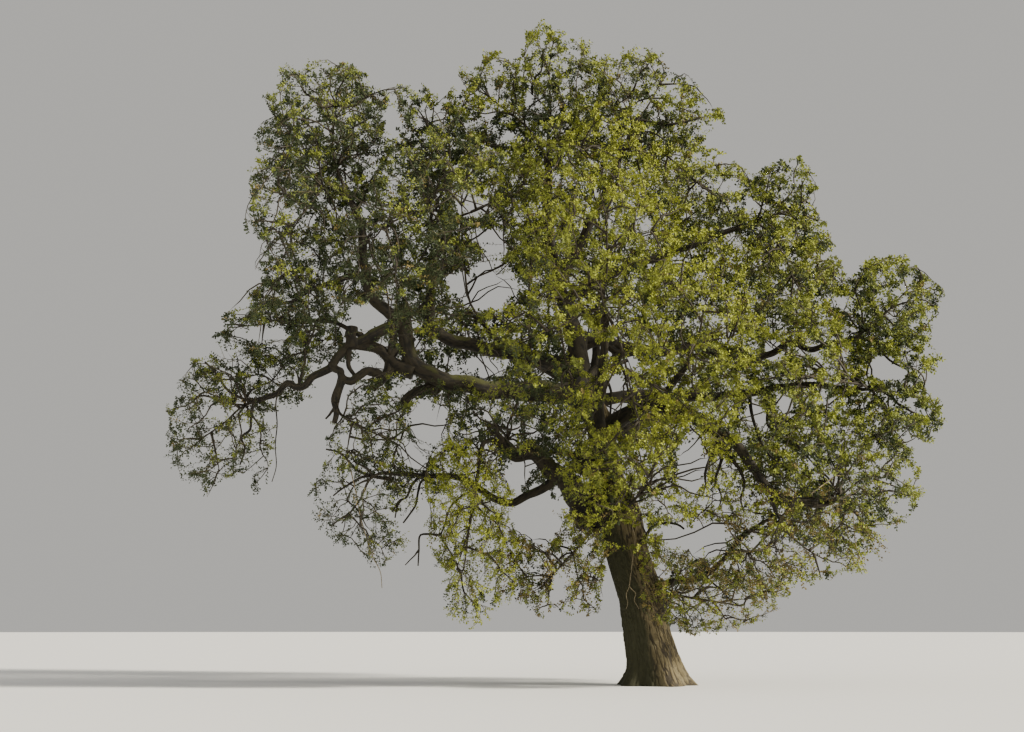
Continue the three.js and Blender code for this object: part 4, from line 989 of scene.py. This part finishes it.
def is_open_to(places, slack, rng):
    """Whether leaves may be at each place: inside the crown's edge, and outside every sky gap but for a
    seeded few near its rim. The slack is how far chance moves an edge."""
    seen = seen_from_eye(places)
    moved = seen + rng.normal(0, slack, seen.shape)
    depth = gap_depth(moved)
    return is_within_edge(moved) & ((depth > 1.0) | (rng.random(len(depth)) < GAP_VEIL * depth ** 2))


def space_of(name):
    """The middle and the three radii of a mass's rounded space."""
    centre, radii = MASSES[name][2:]
    return np.array(centre), np.array(radii)


def parting_planes(name):
    """The planes that part a mass from each other one, shared by their reach, as in the source."""
    centre, radii = space_of(name)
    others = [mass for mass in MASSES if mass != name]
    between = np.array([MASSES[mass][2] for mass in others]) - centre
    their_radii = np.array([MASSES[mass][3] for mass in others])
    normals = unit(between / (radii ** 2 + their_radii ** 2))
    own_reach = np.linalg.norm(radii * normals, axis=1)
    their_reach = np.linalg.norm(their_radii * normals, axis=1)
    limits = (normals * between).sum(axis=1) * own_reach / (own_reach + their_reach) - SPACE_MARGIN
    return normals, limits


def spread_of(name):
    """How far a mass may grow past its own size towards its neighbours, as a share of that size."""
    return INNER_SPREADS.get(name, INNER_SPREAD)


def room_of(name):
    """The volume that a mass fills: its rounded space, and half of what it may spread inwards."""
    return 4 / 3 * np.pi * np.prod(MASSES[name][3]) * (1 + 0.5 * spread_of(name)) ** 2


def weight_of(name):
    """How much grows in a mass, for its room and its fullness."""
    return room_of(name) ** ROOM_POWER * FULLNESS.get(name, 1.0)


def shell_share(name, places):
    """How far out in its mass each place lies, 1 at the shell: its rounded distance over an allowance
    that is 1 on the crown's outside and grows towards the neighbouring masses and the crown's middle."""
    centre, radii = space_of(name)
    offset = places - centre
    facing = unit(offset) @ unit((centre - CROWN_MIDDLE) * (1, 1, 0.8))
    allowance = 1 + spread_of(name) * (1 - eased(facing, -0.1, 0.8))
    return np.linalg.norm(offset / radii, axis=1) / allowance


def is_in_space(name, planes, places):
    """Whether each place is inside the mass's space and on its own side of every plane."""
    normals, limits = planes
    centre, _ = space_of(name)
    side = (places - centre) @ normals.T <= limits + PLANE_SLACK
    return (shell_share(name, places) <= CLUMP_LIMIT) & side.all(axis=1)


def kept_in_box(places):
    """The places, drawn back inside the solids' box where they pass it."""
    return np.clip(places, np.array(solid_box[0]) + BOX_MARGIN, np.array(solid_box[1]) - BOX_MARGIN)


# The growth of a mass: stem, main twigs, clump twigs, shoots and leaves

def mass_stem(name):
    """A cubic curve from the tip of the mass's limb, or from the trunk, through its space."""
    holder = MASSES[name][0]
    centre, radii = space_of(name)
    if isinstance(holder, str):
        limb_radii, route = BOUGHS[holder]
        limb = smooth_path(route, 200)
        heading = unit(limb[-1] - limb[-2])
        foot = limb[-1] - heading * limb_radii[1] * 0.5
        shared = sum(MASSES[mass][0] == holder for mass in MASSES) > 1
        radius = limb_radii[1] * (SHARED_STEM_GIRTH if shared else LONE_STEM_GIRTH)
        if shared:
            aside = centre - foot
            aside = unit(aside - heading * np.dot(aside, heading))
            foot = foot + aside * limb_radii[1] * (1 - SHARED_STEM_SHARE)
    else:
        trunk = smooth_path(TRUNK_ROUTE, 200)
        foot = trunk[np.argmax(trunk[:, 2] >= holder)]
        heading = unit((centre - foot) * (1, 1, 0))
        radius = TRUNK_STEM_RADIUS
    run = np.linalg.norm(centre - foot)
    pull = foot + heading * run * STEM_PULL
    arch = blend(centre, foot, 0.25) + UP * run * STEM_ARCH
    end = centre + unit(centre - foot) * radii * STEM_REACH
    t = np.linspace(0, 1, STEM_PLACES)[:, None]
    curve = (1 - t) ** 3 * foot + 3 * (1 - t) ** 2 * t * pull + 3 * (1 - t) * t ** 2 * arch + t ** 3 * end
    sway = np.hstack([np.sin(9 * t + run), np.cos(8 * t + run), np.sin(6 * t)])
    return evenly(curve + STEM_SWAY * np.sin(np.pi * t) * sway, STEM_PLACES), radius


def main_twigs(name, stem):
    """The source's ring of twigs: one straight out of the crown, the others leaning away from it in an
    even ring, each from the nearest place on the stem, a little towards its foot."""
    centre, radii = space_of(name)
    numbers = source_numbers(SEED + list(MASSES).index(name))
    section = np.pi * np.prod(radii) ** (2 / 3)
    count = int(np.clip(round(section / AREA_PER_TWIG), 3, 4))
    turn = next(numbers) * 2 * np.pi
    outward = unit((centre - CROWN_MIDDLE) / radii)
    twigs = []
    for k in range(count):
        out = outward
        if k > 0:
            aside = unit(np.array([-outward[1], outward[0], 0.2]))
            lean = RING_LEAN + (-RING_SWAY if k % 2 else RING_SWAY)
            out = turned(outward, unit(np.cross(outward, aside)), lean)
            out = turned(out, outward, turn + k * 2 * np.pi / (count - 1))
        jitter = np.array([next(numbers) - 0.5 for _ in range(3)])
        target = centre + out * radii * TWIG_REACH + jitter * radii[0] * TWIG_SCATTER
        nearest = np.argmin(np.linalg.norm(stem - target, axis=1)) / (len(stem) - 1)
        along = np.clip(nearest - TWIG_FORE, 0.3, 0.97)
        foot = stem[int(along * (len(stem) - 1))]
        middle = blend(foot, target, 0.5) + UP * TWIG_RISE * np.linalg.norm(target - foot)
        t = np.linspace(0, 1, TWIG_PLACES)[:, None]
        twigs.append(evenly(arc(foot, middle, target, t), TWIG_PLACES))
        # The source draws three more numbers here, for the leaves at the twig's end
        for _ in range(3):
            next(numbers)
    return twigs


def spread_out(places, count, weights):
    """Picks places one by one, each the farthest from those picked before."""
    chosen = [int(np.argmax(weights))]
    nearest = np.linalg.norm(places - places[chosen[0]], axis=1)
    while len(chosen) < min(count, len(places)):
        best = int(np.argmax(nearest * weights))
        chosen.append(best)
        nearest = np.minimum(nearest, np.linalg.norm(places - places[best], axis=1))
    return places[chosen]


def clump_places(name, rng):
    """Middles of clumps through a mass, thickest near its shell, clear of the sky gaps and the edge."""
    centre, radii = space_of(name)
    count = int(CLUMPS_PER_ROOM * weight_of(name))
    directions = unit(rng.normal(size=(count * CLUMP_TRIES, 3)))
    reach = rng.uniform(0.10, 1, (count * CLUMP_TRIES, 1)) ** 0.45 * (1 + spread_of(name))
    places = centre + directions * reach * radii
    places = places[is_in_space(name, parting_planes(name), places)]
    places = places[is_open_to(places, EDGE_CHANCE, rng)]
    return spread_out(places, count, rng.uniform(0.5, 1, len(places)))


def arched(feet, middles, ends, t, sway=0.0):
    """Places along many arched twigs at once: the arc, and a swing of sway * length * sin(pi t) times
    sin(2.2 pi t + phase) aside and cos(2.7 pi t + 1.7 phase) across. A twig's foot gives its phase."""
    span = ends - feet
    length = np.linalg.norm(span, axis=-1, keepdims=True)
    aside = unit(np.cross(span, UP) + 1e-6)
    across = unit(np.cross(span, aside))
    phase = (feet.sum(axis=-1, keepdims=True) * 37.0) % (2 * np.pi)
    swing = sway * length * np.sin(np.pi * t)
    return (arc(feet, middles, ends, t) + aside * swing * np.sin(2.2 * np.pi * t + phase)
            + across * swing * np.cos(2.7 * np.pi * t + 1.7 * phase))


def joined_tubes(feet, middles, ends, foot_radius, tip_radius, rings, sway=0.0):
    """Many three-sided tubes at once along arched twigs, each closed by a face at its foot and a point
    at its end."""
    count = len(feet)
    t = np.linspace(0, 1, rings + 1)[None, :, None]
    path = arched(feet[:, None], middles[:, None], ends[:, None], t, sway)
    tangent = unit(ends - feet)
    helper = np.where(np.abs(tangent[:, 2:]) > 0.8, np.array([[1.0, 0, 0]]), UP[None])
    aside = unit(np.cross(tangent, helper))
    across = np.cross(tangent, aside)
    angles = np.arange(3) * 2 * np.pi / 3
    spokes = aside[:, None] * np.cos(angles)[None, :, None] + across[:, None] * np.sin(angles)[None, :, None]
    radius = blend(np.asarray(foot_radius).reshape(-1, 1), np.asarray(tip_radius).reshape(-1, 1), t[..., 0])
    rims = path[:, :-1, None] + spokes[:, None] * radius[:, :-1, None, None]
    places = np.concatenate([rims.reshape(count, -1, 3), path[:, -1:]], axis=1)
    per_tube = rings * 3 + 1
    side = np.arange(3)
    beside = (side + 1) % 3
    walls = [np.stack([r * 3 + side, r * 3 + beside, r * 3 + 3 + beside, r * 3 + 3 + side], axis=-1)
             for r in range(rings - 1)]
    tip = np.stack([(rings - 1) * 3 + side, (rings - 1) * 3 + beside, np.full(3, rings * 3)], axis=-1)
    foot = np.array([[0, 2, 1]])
    start = (np.arange(count) * per_tube)[:, None, None]
    faces = [(start + np.concatenate([tip, foot])).reshape(-1, 3)]
    if walls:
        faces.append((start + np.concatenate(walls)).reshape(-1, 4))
    return places.reshape(-1, 3), faces


def nearest_below(places, wood, heading, fore):
    """For each place the nearest place of the wood, as seen from a little back along the heading. A way
    is longer by GAP_DETOUR for each of three places on it that lie in a sky gap."""
    distance = np.linalg.norm(places[:, None] - wood[None], axis=-1).min(axis=1)[:, None]
    moved = places - heading * distance * fore
    away = np.linalg.norm(moved[:, None] - wood[None], axis=-1)
    for share in (0.3, 0.55, 0.8):
        between = blend(wood[None], places[:, None], share)
        away = away + GAP_DETOUR * (gap_depth(seen_from_eye(between)) < 1.0)
    return wood[away.argmin(axis=1)]


def twigs_to(ends, wood, heading, fore, rng):
    """A twig from the wood to each end: its foot, its middle, lifted and moved by chance, and its end."""
    feet = nearest_below(ends, wood, heading, fore)
    length = np.linalg.norm(ends - feet, axis=1, keepdims=True)
    middles = (blend(feet, ends, 0.5) + UP * ARCH * length
               + rng.normal(0, ARCH_CHANCE, ends.shape) * length)
    return feet, middles, ends


def grow_shoots(name, twigs, spacing, shoots_wanted, rng):
    """Shoots from the end half of each twig, fanned out to a domed shell round its clump, which is
    pulled down where the mass hangs. Returns each shoot's twig, and the shoots as feet, middles, ends."""
    clumps = twigs[2]
    hang = HANGING.get(name, HANGING_MOST)
    per_clump = max(LEAST_SHOOTS, int(round(shoots_wanted / len(clumps))))
    owner = np.repeat(np.arange(len(clumps)), per_clump)
    size = CLUMP_SIZE * spacing * rng.uniform(0.6, 1.4, len(clumps))
    out = unit(rng.normal(size=(len(owner), 3)) + np.array([0, 0, 0.45 - 0.9 * hang]))
    offset = out * size[owner, None] * rng.uniform(0.45, 1.1, (len(owner), 1)) * (1, 1, 0.68 + 0.6 * hang)
    ends = kept_in_box(clumps[owner] + offset - UP * hang * 0.3 * size[owner, None])
    t = rng.uniform(0.45, 1.0, (len(owner), 1))
    starts = arched(*(part[owner] for part in twigs), t, SWAY)
    keep = is_open_to(ends, EDGE_CHANCE, rng) & (shell_share(name, ends) < 1.0)
    owner, starts, ends = owner[keep], starts[keep], ends[keep]
    lift = (0.10 - 0.25 * hang) * np.linalg.norm(ends - starts, axis=1, keepdims=True)
    return owner, (starts, blend(starts, ends, 0.55) + UP * lift, ends)


def painted_light_on(name, groups, clumps, owner, ends, spacing, rng):
    """How much painted light each shoot's leaf colour gets. A clump's is how far it faces the painted light
    side in its mass and lies on that side of its group. A shoot's adds how far it faces that side in its
    clump, and how near it is to the shell, so that shoots deep inside take painted shade. Each step has a
    little chance in it."""
    group = np.linalg.norm(clumps[:, None] - groups[None], axis=-1).argmin(axis=1)
    group_light = (clumps - groups[group]) @ PAINTED_LIGHT_SIDE / spacing + rng.normal(0, 0.35, len(groups))[group]
    clump_light = (0.7 * unit(clumps - space_of(name)[0]) @ PAINTED_LIGHT_SIDE + 0.8 * group_light
                   + rng.normal(0, 0.2, len(clumps)))
    return (0.55 * unit(ends - clumps[owner]) @ PAINTED_LIGHT_SIDE + 0.5 * clump_light[owner]
            + 0.8 * (shell_share(name, ends) - 0.7) + rng.normal(0, 0.14, len(owner)))


def dealt_tints(tint, light, rng):
    """A leaf colour for each shoot: the shoots in order of their painted light take lit, bright, olive and
    shade, from painted light to painted shade, by their shares, and a seeded few are brown."""
    *shares, brown_share = TINT_SHARES[tint]
    rank = 1 - np.argsort(np.argsort(light)) / len(light)
    limits = np.cumsum(shares) / np.sum(shares)
    tints = np.minimum(np.searchsorted(limits, rank), len(shares) - 1)
    return np.where(rng.random(len(light)) < brown_share, len(shares), tints)


def grow_mass(name, shoots_wanted):
    """Stem and main twigs as in the source. From them grow side branches to the middles of groups of
    clumps, from all of these a twig to each clump, and from the twigs shoots, each with its leaf colour,
    which is painted light."""
    rng = np.random.default_rng(SEED + 7 * list(MASSES).index(name))
    stem, stem_radius = mass_stem(name)
    main = main_twigs(name, stem)
    heading = unit(stem[-1] - stem[0])
    clumps = kept_in_box(clump_places(name, rng))
    groups = spread_out(clumps, max(LEAST_GROUPS, len(clumps) // CLUMPS_PER_GROUP), np.ones(len(clumps)))
    wood = np.vstack([stem[STEM_BARE_PLACES:]] + [twig[1:] for twig in main])
    side_branches = twigs_to(groups, wood, heading, GROUP_FORE, rng)
    t = np.linspace(0.25, 1, 7)[None, :, None]
    side_places = arched(*(part[:, None] for part in side_branches), t, SWAY)
    wood = np.vstack([wood, side_places.reshape(-1, 3)])
    twigs = twigs_to(clumps, wood, heading, CLUMP_FORE, rng)
    spacing = (room_of(name) / len(clumps)) ** (1 / 3)
    owner, shoots = grow_shoots(name, twigs, spacing, shoots_wanted, rng)
    light = painted_light_on(name, groups, clumps, owner, shoots[2], spacing, rng)
    used = np.unique(owner)
    return {
        "name": name, "stem": stem, "stem_radius": stem_radius, "main_twigs": main,
        "side_branches": side_branches, "twigs": [part[used] for part in twigs], "shoots": shoots,
        "tints": dealt_tints(PAINTED_SHADE_AND_RIM_TINTS.get(name, MASSES[name][1]), light, rng),
        "outward": shoots[2] - clumps[owner], "rng": rng,
    }


def leaf_outline():
    """One oak leaf of unit length, folded along its rib: foot, a lobe, tip, and on the other side a notch
    and a lobe nearer to the foot. Three three-cornered faces."""
    flat = [(0, 0), (0.64, 0.38), (1, 0), (0.62, -0.15), (0.40, -0.37)]
    places = [(x, y, 0.3 * abs(y) - 0.06 * x * x) for x, y in flat]
    faces = [(0, 2, 1), (0, 3, 2), (0, 4, 3)]
    return np.array(places), np.array(faces)


def leaves_on(grown):
    """Leaves round the outer part of each shoot, each turned on by the golden angle, drawn outwards
    along the shoot and tilted so that most faces look up and out. Leaves that would pass the solids' box
    are left off. Returns their roots and three edges, and their colours."""
    rng = grown["rng"]
    starts, bends, ends = grown["shoots"]
    count = len(starts)
    shoot = np.repeat(np.arange(count), LEAVES_PER_SHOOT)
    order = np.tile(np.arange(LEAVES_PER_SHOOT), count)
    step = (order + rng.uniform(0.1, 0.9, len(order))) / LEAVES_PER_SHOOT
    t = (LEAVES_FROM + (1 - LEAVES_FROM) * step)[:, None]
    root = arc(starts[shoot], bends[shoot], ends[shoot], t)
    axis = unit(2 * (1 - t) * (bends[shoot] - starts[shoot]) + 2 * t * (ends[shoot] - bends[shoot]))
    aside = unit(np.cross(axis, UP) + 1e-4)
    across = np.cross(axis, aside)
    angle = (order * GOLDEN_ANGLE + rng.uniform(0, 2 * np.pi, count)[shoot])[:, None]
    radial = aside * np.cos(angle) + across * np.sin(angle)
    heading = unit(radial + axis * rng.uniform(0.3, 0.9, (len(shoot), 1)) - UP * LEAF_DROOP)
    face = unit(UP * FACES_UP + unit(grown["outward"][shoot]) * FACES_OUT
                + rng.normal(0, FACES_ANYHOW, heading.shape))
    side = unit(np.cross(face, heading))
    normal = np.cross(heading, side)
    scale = LEAF_SCALES.get(grown["name"], 1.0)
    depth_scale = blend(FRONT_SCALE, BACK_SCALE, eased(root[:, 1], *FRONT_TO_BACK))
    length = (LEAF_LENGTH * scale * depth_scale * rng.uniform(*LENGTH_RANGE, len(shoot)))[:, None]
    low, high = np.array(solid_box[0]) + LEAF_MARGIN, np.array(solid_box[1]) - LEAF_MARGIN
    tip = root + heading * length
    fits = ((tip - LEAF_HALF_WIDTH > low) & (tip + LEAF_HALF_WIDTH < high)
            & (root > low) & (root < high)).all(axis=1)
    edges = [part[fits] for part in (root, heading * length, side * length, normal * length)]
    return edges, grown["tints"][shoot][fits]


def make_leaves(section, masses, grown, finishes):
    """The leaves of some masses as one piece: each is the outline, set out along its own three edges."""
    outline, faces = leaf_outline()
    shape = Shape()
    tints = []
    for mass in masses:
        (root, along, side, normal), tint = leaves_on(grown[mass])
        places = (root[:, None] + outline[None, :, 0:1] * along[:, None]
                  + outline[None, :, 1:2] * side[:, None] + outline[None, :, 2:3] * normal[:, None])
        start = (np.arange(len(root)) * len(outline))[:, None, None]
        shape.add(places.reshape(-1, 3), [(start + faces[None]).reshape(-1, 3)])
        tints.append(np.repeat(tint, len(faces)))
    return shape.piece(f"leaves_{section}", finishes, [f"{mass}_leaves" for mass in masses],
                       finish_numbers=np.concatenate(tints), smooth=False)


def make_branches(grown_masses, finish):
    """The stems as tapering seven-sided limbs, the main twigs as five-sided ones, and the side branches
    and the twigs to the clumps as three-sided tubes, thicker where they are longer."""
    shape = Shape()
    for number, grown in enumerate(grown_masses):
        add_limb(shape, grown["stem"], (grown["stem_radius"], STEM_END_RADIUS), 7, seed=number + 120,
                 depth=0.004, phase=number, collar=0.1, power=0.6)
        for twig in grown["main_twigs"]:
            add_limb(shape, twig, MAIN_TWIG_RADII, 5, seed=number, depth=0.002, collar=0.2)
        for kind, least, growth, rings in (("side_branches", 0.019, 0.012, 7), ("twigs", 0.011, 0.009, 3)):
            feet, middles, ends = grown[kind]
            radius = np.clip(least + growth * np.linalg.norm(ends - feet, axis=1), least, 2.2 * least)
            places, faces = joined_tubes(feet, middles, ends, radius, radius * 0.35, rings, SWAY)
            none = np.zeros(len(places))
            shape.add(places, faces, crest=none + 0.5, moss=none)
    return shape.piece("branches", [finish])


def make_shoots(grown_masses, finish):
    """The shoots as straight three-sided spikes."""
    shape = Shape()
    for grown in grown_masses:
        shape.add(*joined_tubes(*grown["shoots"], SHOOT_RADIUS, 0.0, 1))
    return shape.piece("shoots", [finish], smooth=False)


# Finishes

class Amount:
    """A number that varies over a surface. Arithmetic on it adds Math nodes to its finish."""

    def __init__(self, finish, socket):
        self.finish = finish
        self.socket = socket

    def joined(self, operation, first, second):
        """A Math node of two numbers or amounts."""
        node = self.finish.node("ShaderNodeMath", {"operation": operation}, {0: first, 1: second})
        return Amount(self.finish, node.outputs[0])

    def __add__(self, other):
        return self.joined("ADD", self, other)

    def __radd__(self, other):
        return self.joined("ADD", other, self)

    def __sub__(self, other):
        return self.joined("SUBTRACT", self, other)

    def __rsub__(self, other):
        return self.joined("SUBTRACT", other, self)

    def __mul__(self, other):
        return self.joined("MULTIPLY", self, other)

    def __rmul__(self, other):
        return self.joined("MULTIPLY", other, self)

    def sine(self):
        node = self.finish.node("ShaderNodeMath", {"operation": "SINE"}, {0: self})
        return Amount(self.finish, node.outputs[0])


class Finish:
    """A material with one Principled shader, and short ways to add nodes to it."""

    def __init__(self, name, roughness):
        self.material = bpy.data.materials.new(name)
        self.material.use_nodes = True
        self.tree = self.material.node_tree
        self.shader = self.tree.nodes["Principled BSDF"]
        self.shader.inputs["Roughness"].default_value = roughness

    def node(self, kind, settings=(), values=()):
        """A new node: its settings first, then the values or links of its sockets."""
        made = self.tree.nodes.new(kind)
        for key, value in dict(settings).items():
            setattr(made, key, value)
        for key, value in dict(values).items():
            self.put(made.inputs[key], value)
        return made

    def put(self, socket, value):
        """Sets a socket to a value, or links another socket to it."""
        if isinstance(value, Amount):
            value = value.socket
        if isinstance(value, bpy.types.NodeSocket):
            self.tree.links.new(value, socket)
        else:
            socket.default_value = value

    def place(self):
        """The piece's own coordinates, in metres."""
        return self.node("ShaderNodeTexCoord").outputs["Object"]

    def mark(self, name):
        """The value kept at the piece's own places under this name."""
        return Amount(self, self.node("ShaderNodeAttribute", {"attribute_name": name}).outputs["Fac"])

    def noise(self, scale, detail=3.0, roughness=0.55):
        """Mottling from 0 to 1, finer for a larger scale."""
        values = {"Vector": self.place(), "Scale": scale, "Detail": detail, "Roughness": roughness}
        return Amount(self, self.node("ShaderNodeTexNoise", (), values).outputs["Fac"])

    def stepped(self, amount, low, high):
        """0 below low, 1 above high, eased between."""
        values = {"Value": amount, "From Min": low, "From Max": high}
        node = self.node("ShaderNodeMapRange", {"interpolation_type": "SMOOTHSTEP"}, values)
        return Amount(self, node.outputs["Result"])

    def mixed(self, share, first, second):
        """The first colour where share is 0, the second where it is 1."""
        node = self.node("ShaderNodeMix", {"data_type": "RGBA"}, {0: share, 6: first, 7: second})
        return node.outputs[2]

    def bump(self, height, strength, distance):
        """A normal that leans as if the surface rose and fell with the height."""
        values = {"Height": height, "Strength": strength, "Distance": distance}
        return self.node("ShaderNodeBump", (), values).outputs["Normal"]

    def set(self, **values):
        """Sets the shader's own sockets by name, and gives back the finished material."""
        for key, value in values.items():
            self.put(self.shader.inputs[key.replace("_", " ")], value)
        return self.material


def colour(red, green, blue):
    """An opaque colour."""
    return (red, green, blue, 1.0)


def bark_finish(name, crest, furrow, lichen, moss_and_shade_tone):
    """Pale on the crests and dark in the furrows, partly the bark's own tone and partly painted shade in the
    furrows, with lichen patches, and moss where it is marked, which on the trunk is painted shade.
    """
    finish = Finish(name, 0.92)
    grain = finish.noise(26.0, 5.0, 0.65)
    patch = finish.noise(1.7, 4.0)
    # The crests read as lit and the furrows darker: bark tone with painted shade in the furrows
    lit = finish.stepped(finish.mark("crest") + (grain - 0.5) * 0.7, 0.12, 0.95)
    tone = finish.mixed(lit, furrow, crest)
    spots = finish.stepped(patch + (grain - 0.5) * 0.35, 0.56, 0.70) * lit
    tone = finish.mixed(spots * 0.55, tone, lichen)
    green = finish.stepped(finish.mark("moss") + (grain - 0.5) * 0.5, 0.25, 0.62)
    tone = finish.mixed(green, tone, moss_and_shade_tone)
    relief = finish.bump(grain + finish.noise(70.0, 3.0) * 0.4, 0.55, 0.02)
    return finish.set(Base_Color=tone, Roughness=0.86 + grain * 0.12, Normal=relief)


def twig_finish(name, tone, pale):
    """Two tones mixed by a fine grain, with a slight bump."""
    finish = Finish(name, 0.85)
    grain = finish.noise(14.0, 4.0)
    shade = finish.mixed(finish.stepped(grain, 0.35, 0.68), tone, pale)
    relief = finish.bump(finish.noise(60.0, 2.0), 0.4, 0.004)
    return finish.set(Base_Color=shade, Roughness=0.78 + grain * 0.15, Normal=relief)


def leaf_finish(name, tone):
    """A plain base colour for the spray, with a finely mottled gloss."""
    finish = Finish(name, 0.78)
    mottled = finish.noise(22.0, 2.0)
    return finish.set(Base_Color=tone, Roughness=0.70 + mottled * 0.2)


def sawn_finish():
    """Cut wood: year rings from the mark kept at its places, with a darker rim and a warm heart."""
    finish = Finish("sawn_wood", 0.8)
    ring = finish.mark("ring")
    wobble = ring * 16.0 + finish.noise(7.0) * 2.5
    waves = (wobble * 3.0).sine()
    tone = finish.mixed(waves * 0.35 + 0.5, colour(0.30, 0.20, 0.10), colour(0.42, 0.30, 0.17))
    tone = finish.mixed(finish.stepped(ring, 0.86, 0.98), tone, colour(0.10, 0.07, 0.045))
    return finish.set(Base_Color=tone, Normal=finish.bump(waves, 0.2, 0.003))


# The setting

def make_floor():
    """A plain pale floor: one wide disc, with a faint mottle in its gloss."""
    angles = np.linspace(0, 2 * np.pi, FLOOR_SIDES, endpoint=False)
    rim = np.column_stack([np.cos(angles) * FLOOR_RADIUS, np.sin(angles) * FLOOR_RADIUS,
                           np.full(FLOOR_SIDES, -FLOOR_DROP)])
    mesh = bpy.data.meshes.new("floor")
    mesh.from_pydata(rim.tolist(), [], [list(range(FLOOR_SIDES))])
    finish = Finish("floor_finish", 0.9)
    mesh.materials.append(finish.set(Base_Color=colour(0.80, 0.80, 0.79),
                                     Roughness=0.85 + finish.noise(0.4) * 0.1))
    floor = bpy.data.objects.new("floor", mesh)
    bpy.context.scene.collection.objects.link(floor)


def add_sun(name, strength, tone, towards, width):
    """A sun whose rays run along towards, as wide in the sky as the degrees say."""
    lamp = bpy.data.lights.new(name, "SUN")
    lamp.energy = strength
    lamp.color = tone
    lamp.angle = math.radians(width)
    made = bpy.data.objects.new(name, lamp)
    aim = np.array(towards)
    made.rotation_euler = (math.atan2(np.hypot(aim[0], aim[1]), -aim[2]), 0, math.atan2(-aim[0], aim[1]))
    bpy.context.scene.collection.objects.link(made)


def add_world(tone, strength):
    """The same plain light from all round."""
    world = bpy.data.worlds.new("studio")
    world.use_nodes = True
    backdrop = world.node_tree.nodes["Background"]
    backdrop.inputs["Color"].default_value = tone
    backdrop.inputs["Strength"].default_value = strength
    bpy.context.scene.world = world


def add_camera():
    """The camera at the eye, level but for its pitch, looking along +Y."""
    camera = bpy.data.cameras.new("camera")
    camera.lens = LENS
    camera.sensor_width = 36.0
    camera.clip_end = 1000.0
    viewer = bpy.data.objects.new("camera", camera)
    viewer.location = EYE
    viewer.rotation_euler = (math.radians(90 + EYE_PITCH), 0, 0)
    bpy.context.scene.collection.objects.link(viewer)
    bpy.context.scene.camera = viewer


# Making it all

# The trunk's last colour is no moss but painted shade, laid on its side that faces -X
trunk_finish = bark_finish("trunk_bark_finish", colour(0.114, 0.091, 0.045), colour(0.030, 0.023, 0.013),
                           colour(0.165, 0.143, 0.083), colour(0.028, 0.028, 0.011))
# The boughs' bark is darkened far below the trunk's into painted shade of the crown; its last colour is moss
bough_painted_shade_finish = bark_finish("bough_bark_painted_shade", colour(0.024, 0.019, 0.010), colour(0.007, 0.006, 0.004),
                           colour(0.040, 0.036, 0.019), colour(0.044, 0.047, 0.009))
branch_finish = twig_finish("branch_finish", colour(0.021, 0.016, 0.009), colour(0.040, 0.032, 0.018))
shoot_finish = twig_finish("shoot_finish", colour(0.060, 0.052, 0.020), colour(0.100, 0.092, 0.032))
dead_finish = twig_finish("dead_twig_finish", colour(0.17, 0.135, 0.080), colour(0.28, 0.23, 0.14))
# Leaf colours from painted lit through bright and olive to painted shade, and the leaves' own brown
leaf_finishes = [
    leaf_finish("leaf_painted_lit", colour(0.238, 0.266, 0.020)),
    leaf_finish("leaf_bright", colour(0.188, 0.216, 0.017)),
    leaf_finish("leaf_olive", colour(0.122, 0.148, 0.014)),
    leaf_finish("leaf_painted_shade", colour(0.024, 0.038, 0.008)),
    leaf_finish("leaf_brown", colour(0.145, 0.110, 0.026)),
]

make_trunk(trunk_finish)
for name, chosen in BOUGH_PIECES.items():
    make_boughs(name, chosen, bough_painted_shade_finish)
make_side_limbs(bough_painted_shade_finish)
make_dead_twigs(dead_finish)
make_sawn_end(sawn_finish())

weights = {mass: weight_of(mass) for mass in MASSES}
total_weight = sum(weights.values())
grown = {mass: grow_mass(mass, SHOOTS * weights[mass] / total_weight) for mass in MASSES}
for section, (slot, masses) in SECTIONS.items():
    make_leaves(section, masses, grown, leaf_finishes)
make_branches(grown.values(), branch_finish)
make_shoots(grown.values(), shoot_finish)

make_floor()
add_sun("key", 9.4, (1.0, 0.93, 0.78), (-0.88, 0.24, -0.45), 7)
add_sun("fill", 0.5, (1.0, 0.97, 0.92), (0.55, 0.80, -0.15), 60)
add_world(colour(1.0, 0.98, 0.93), 0.50)
add_camera()
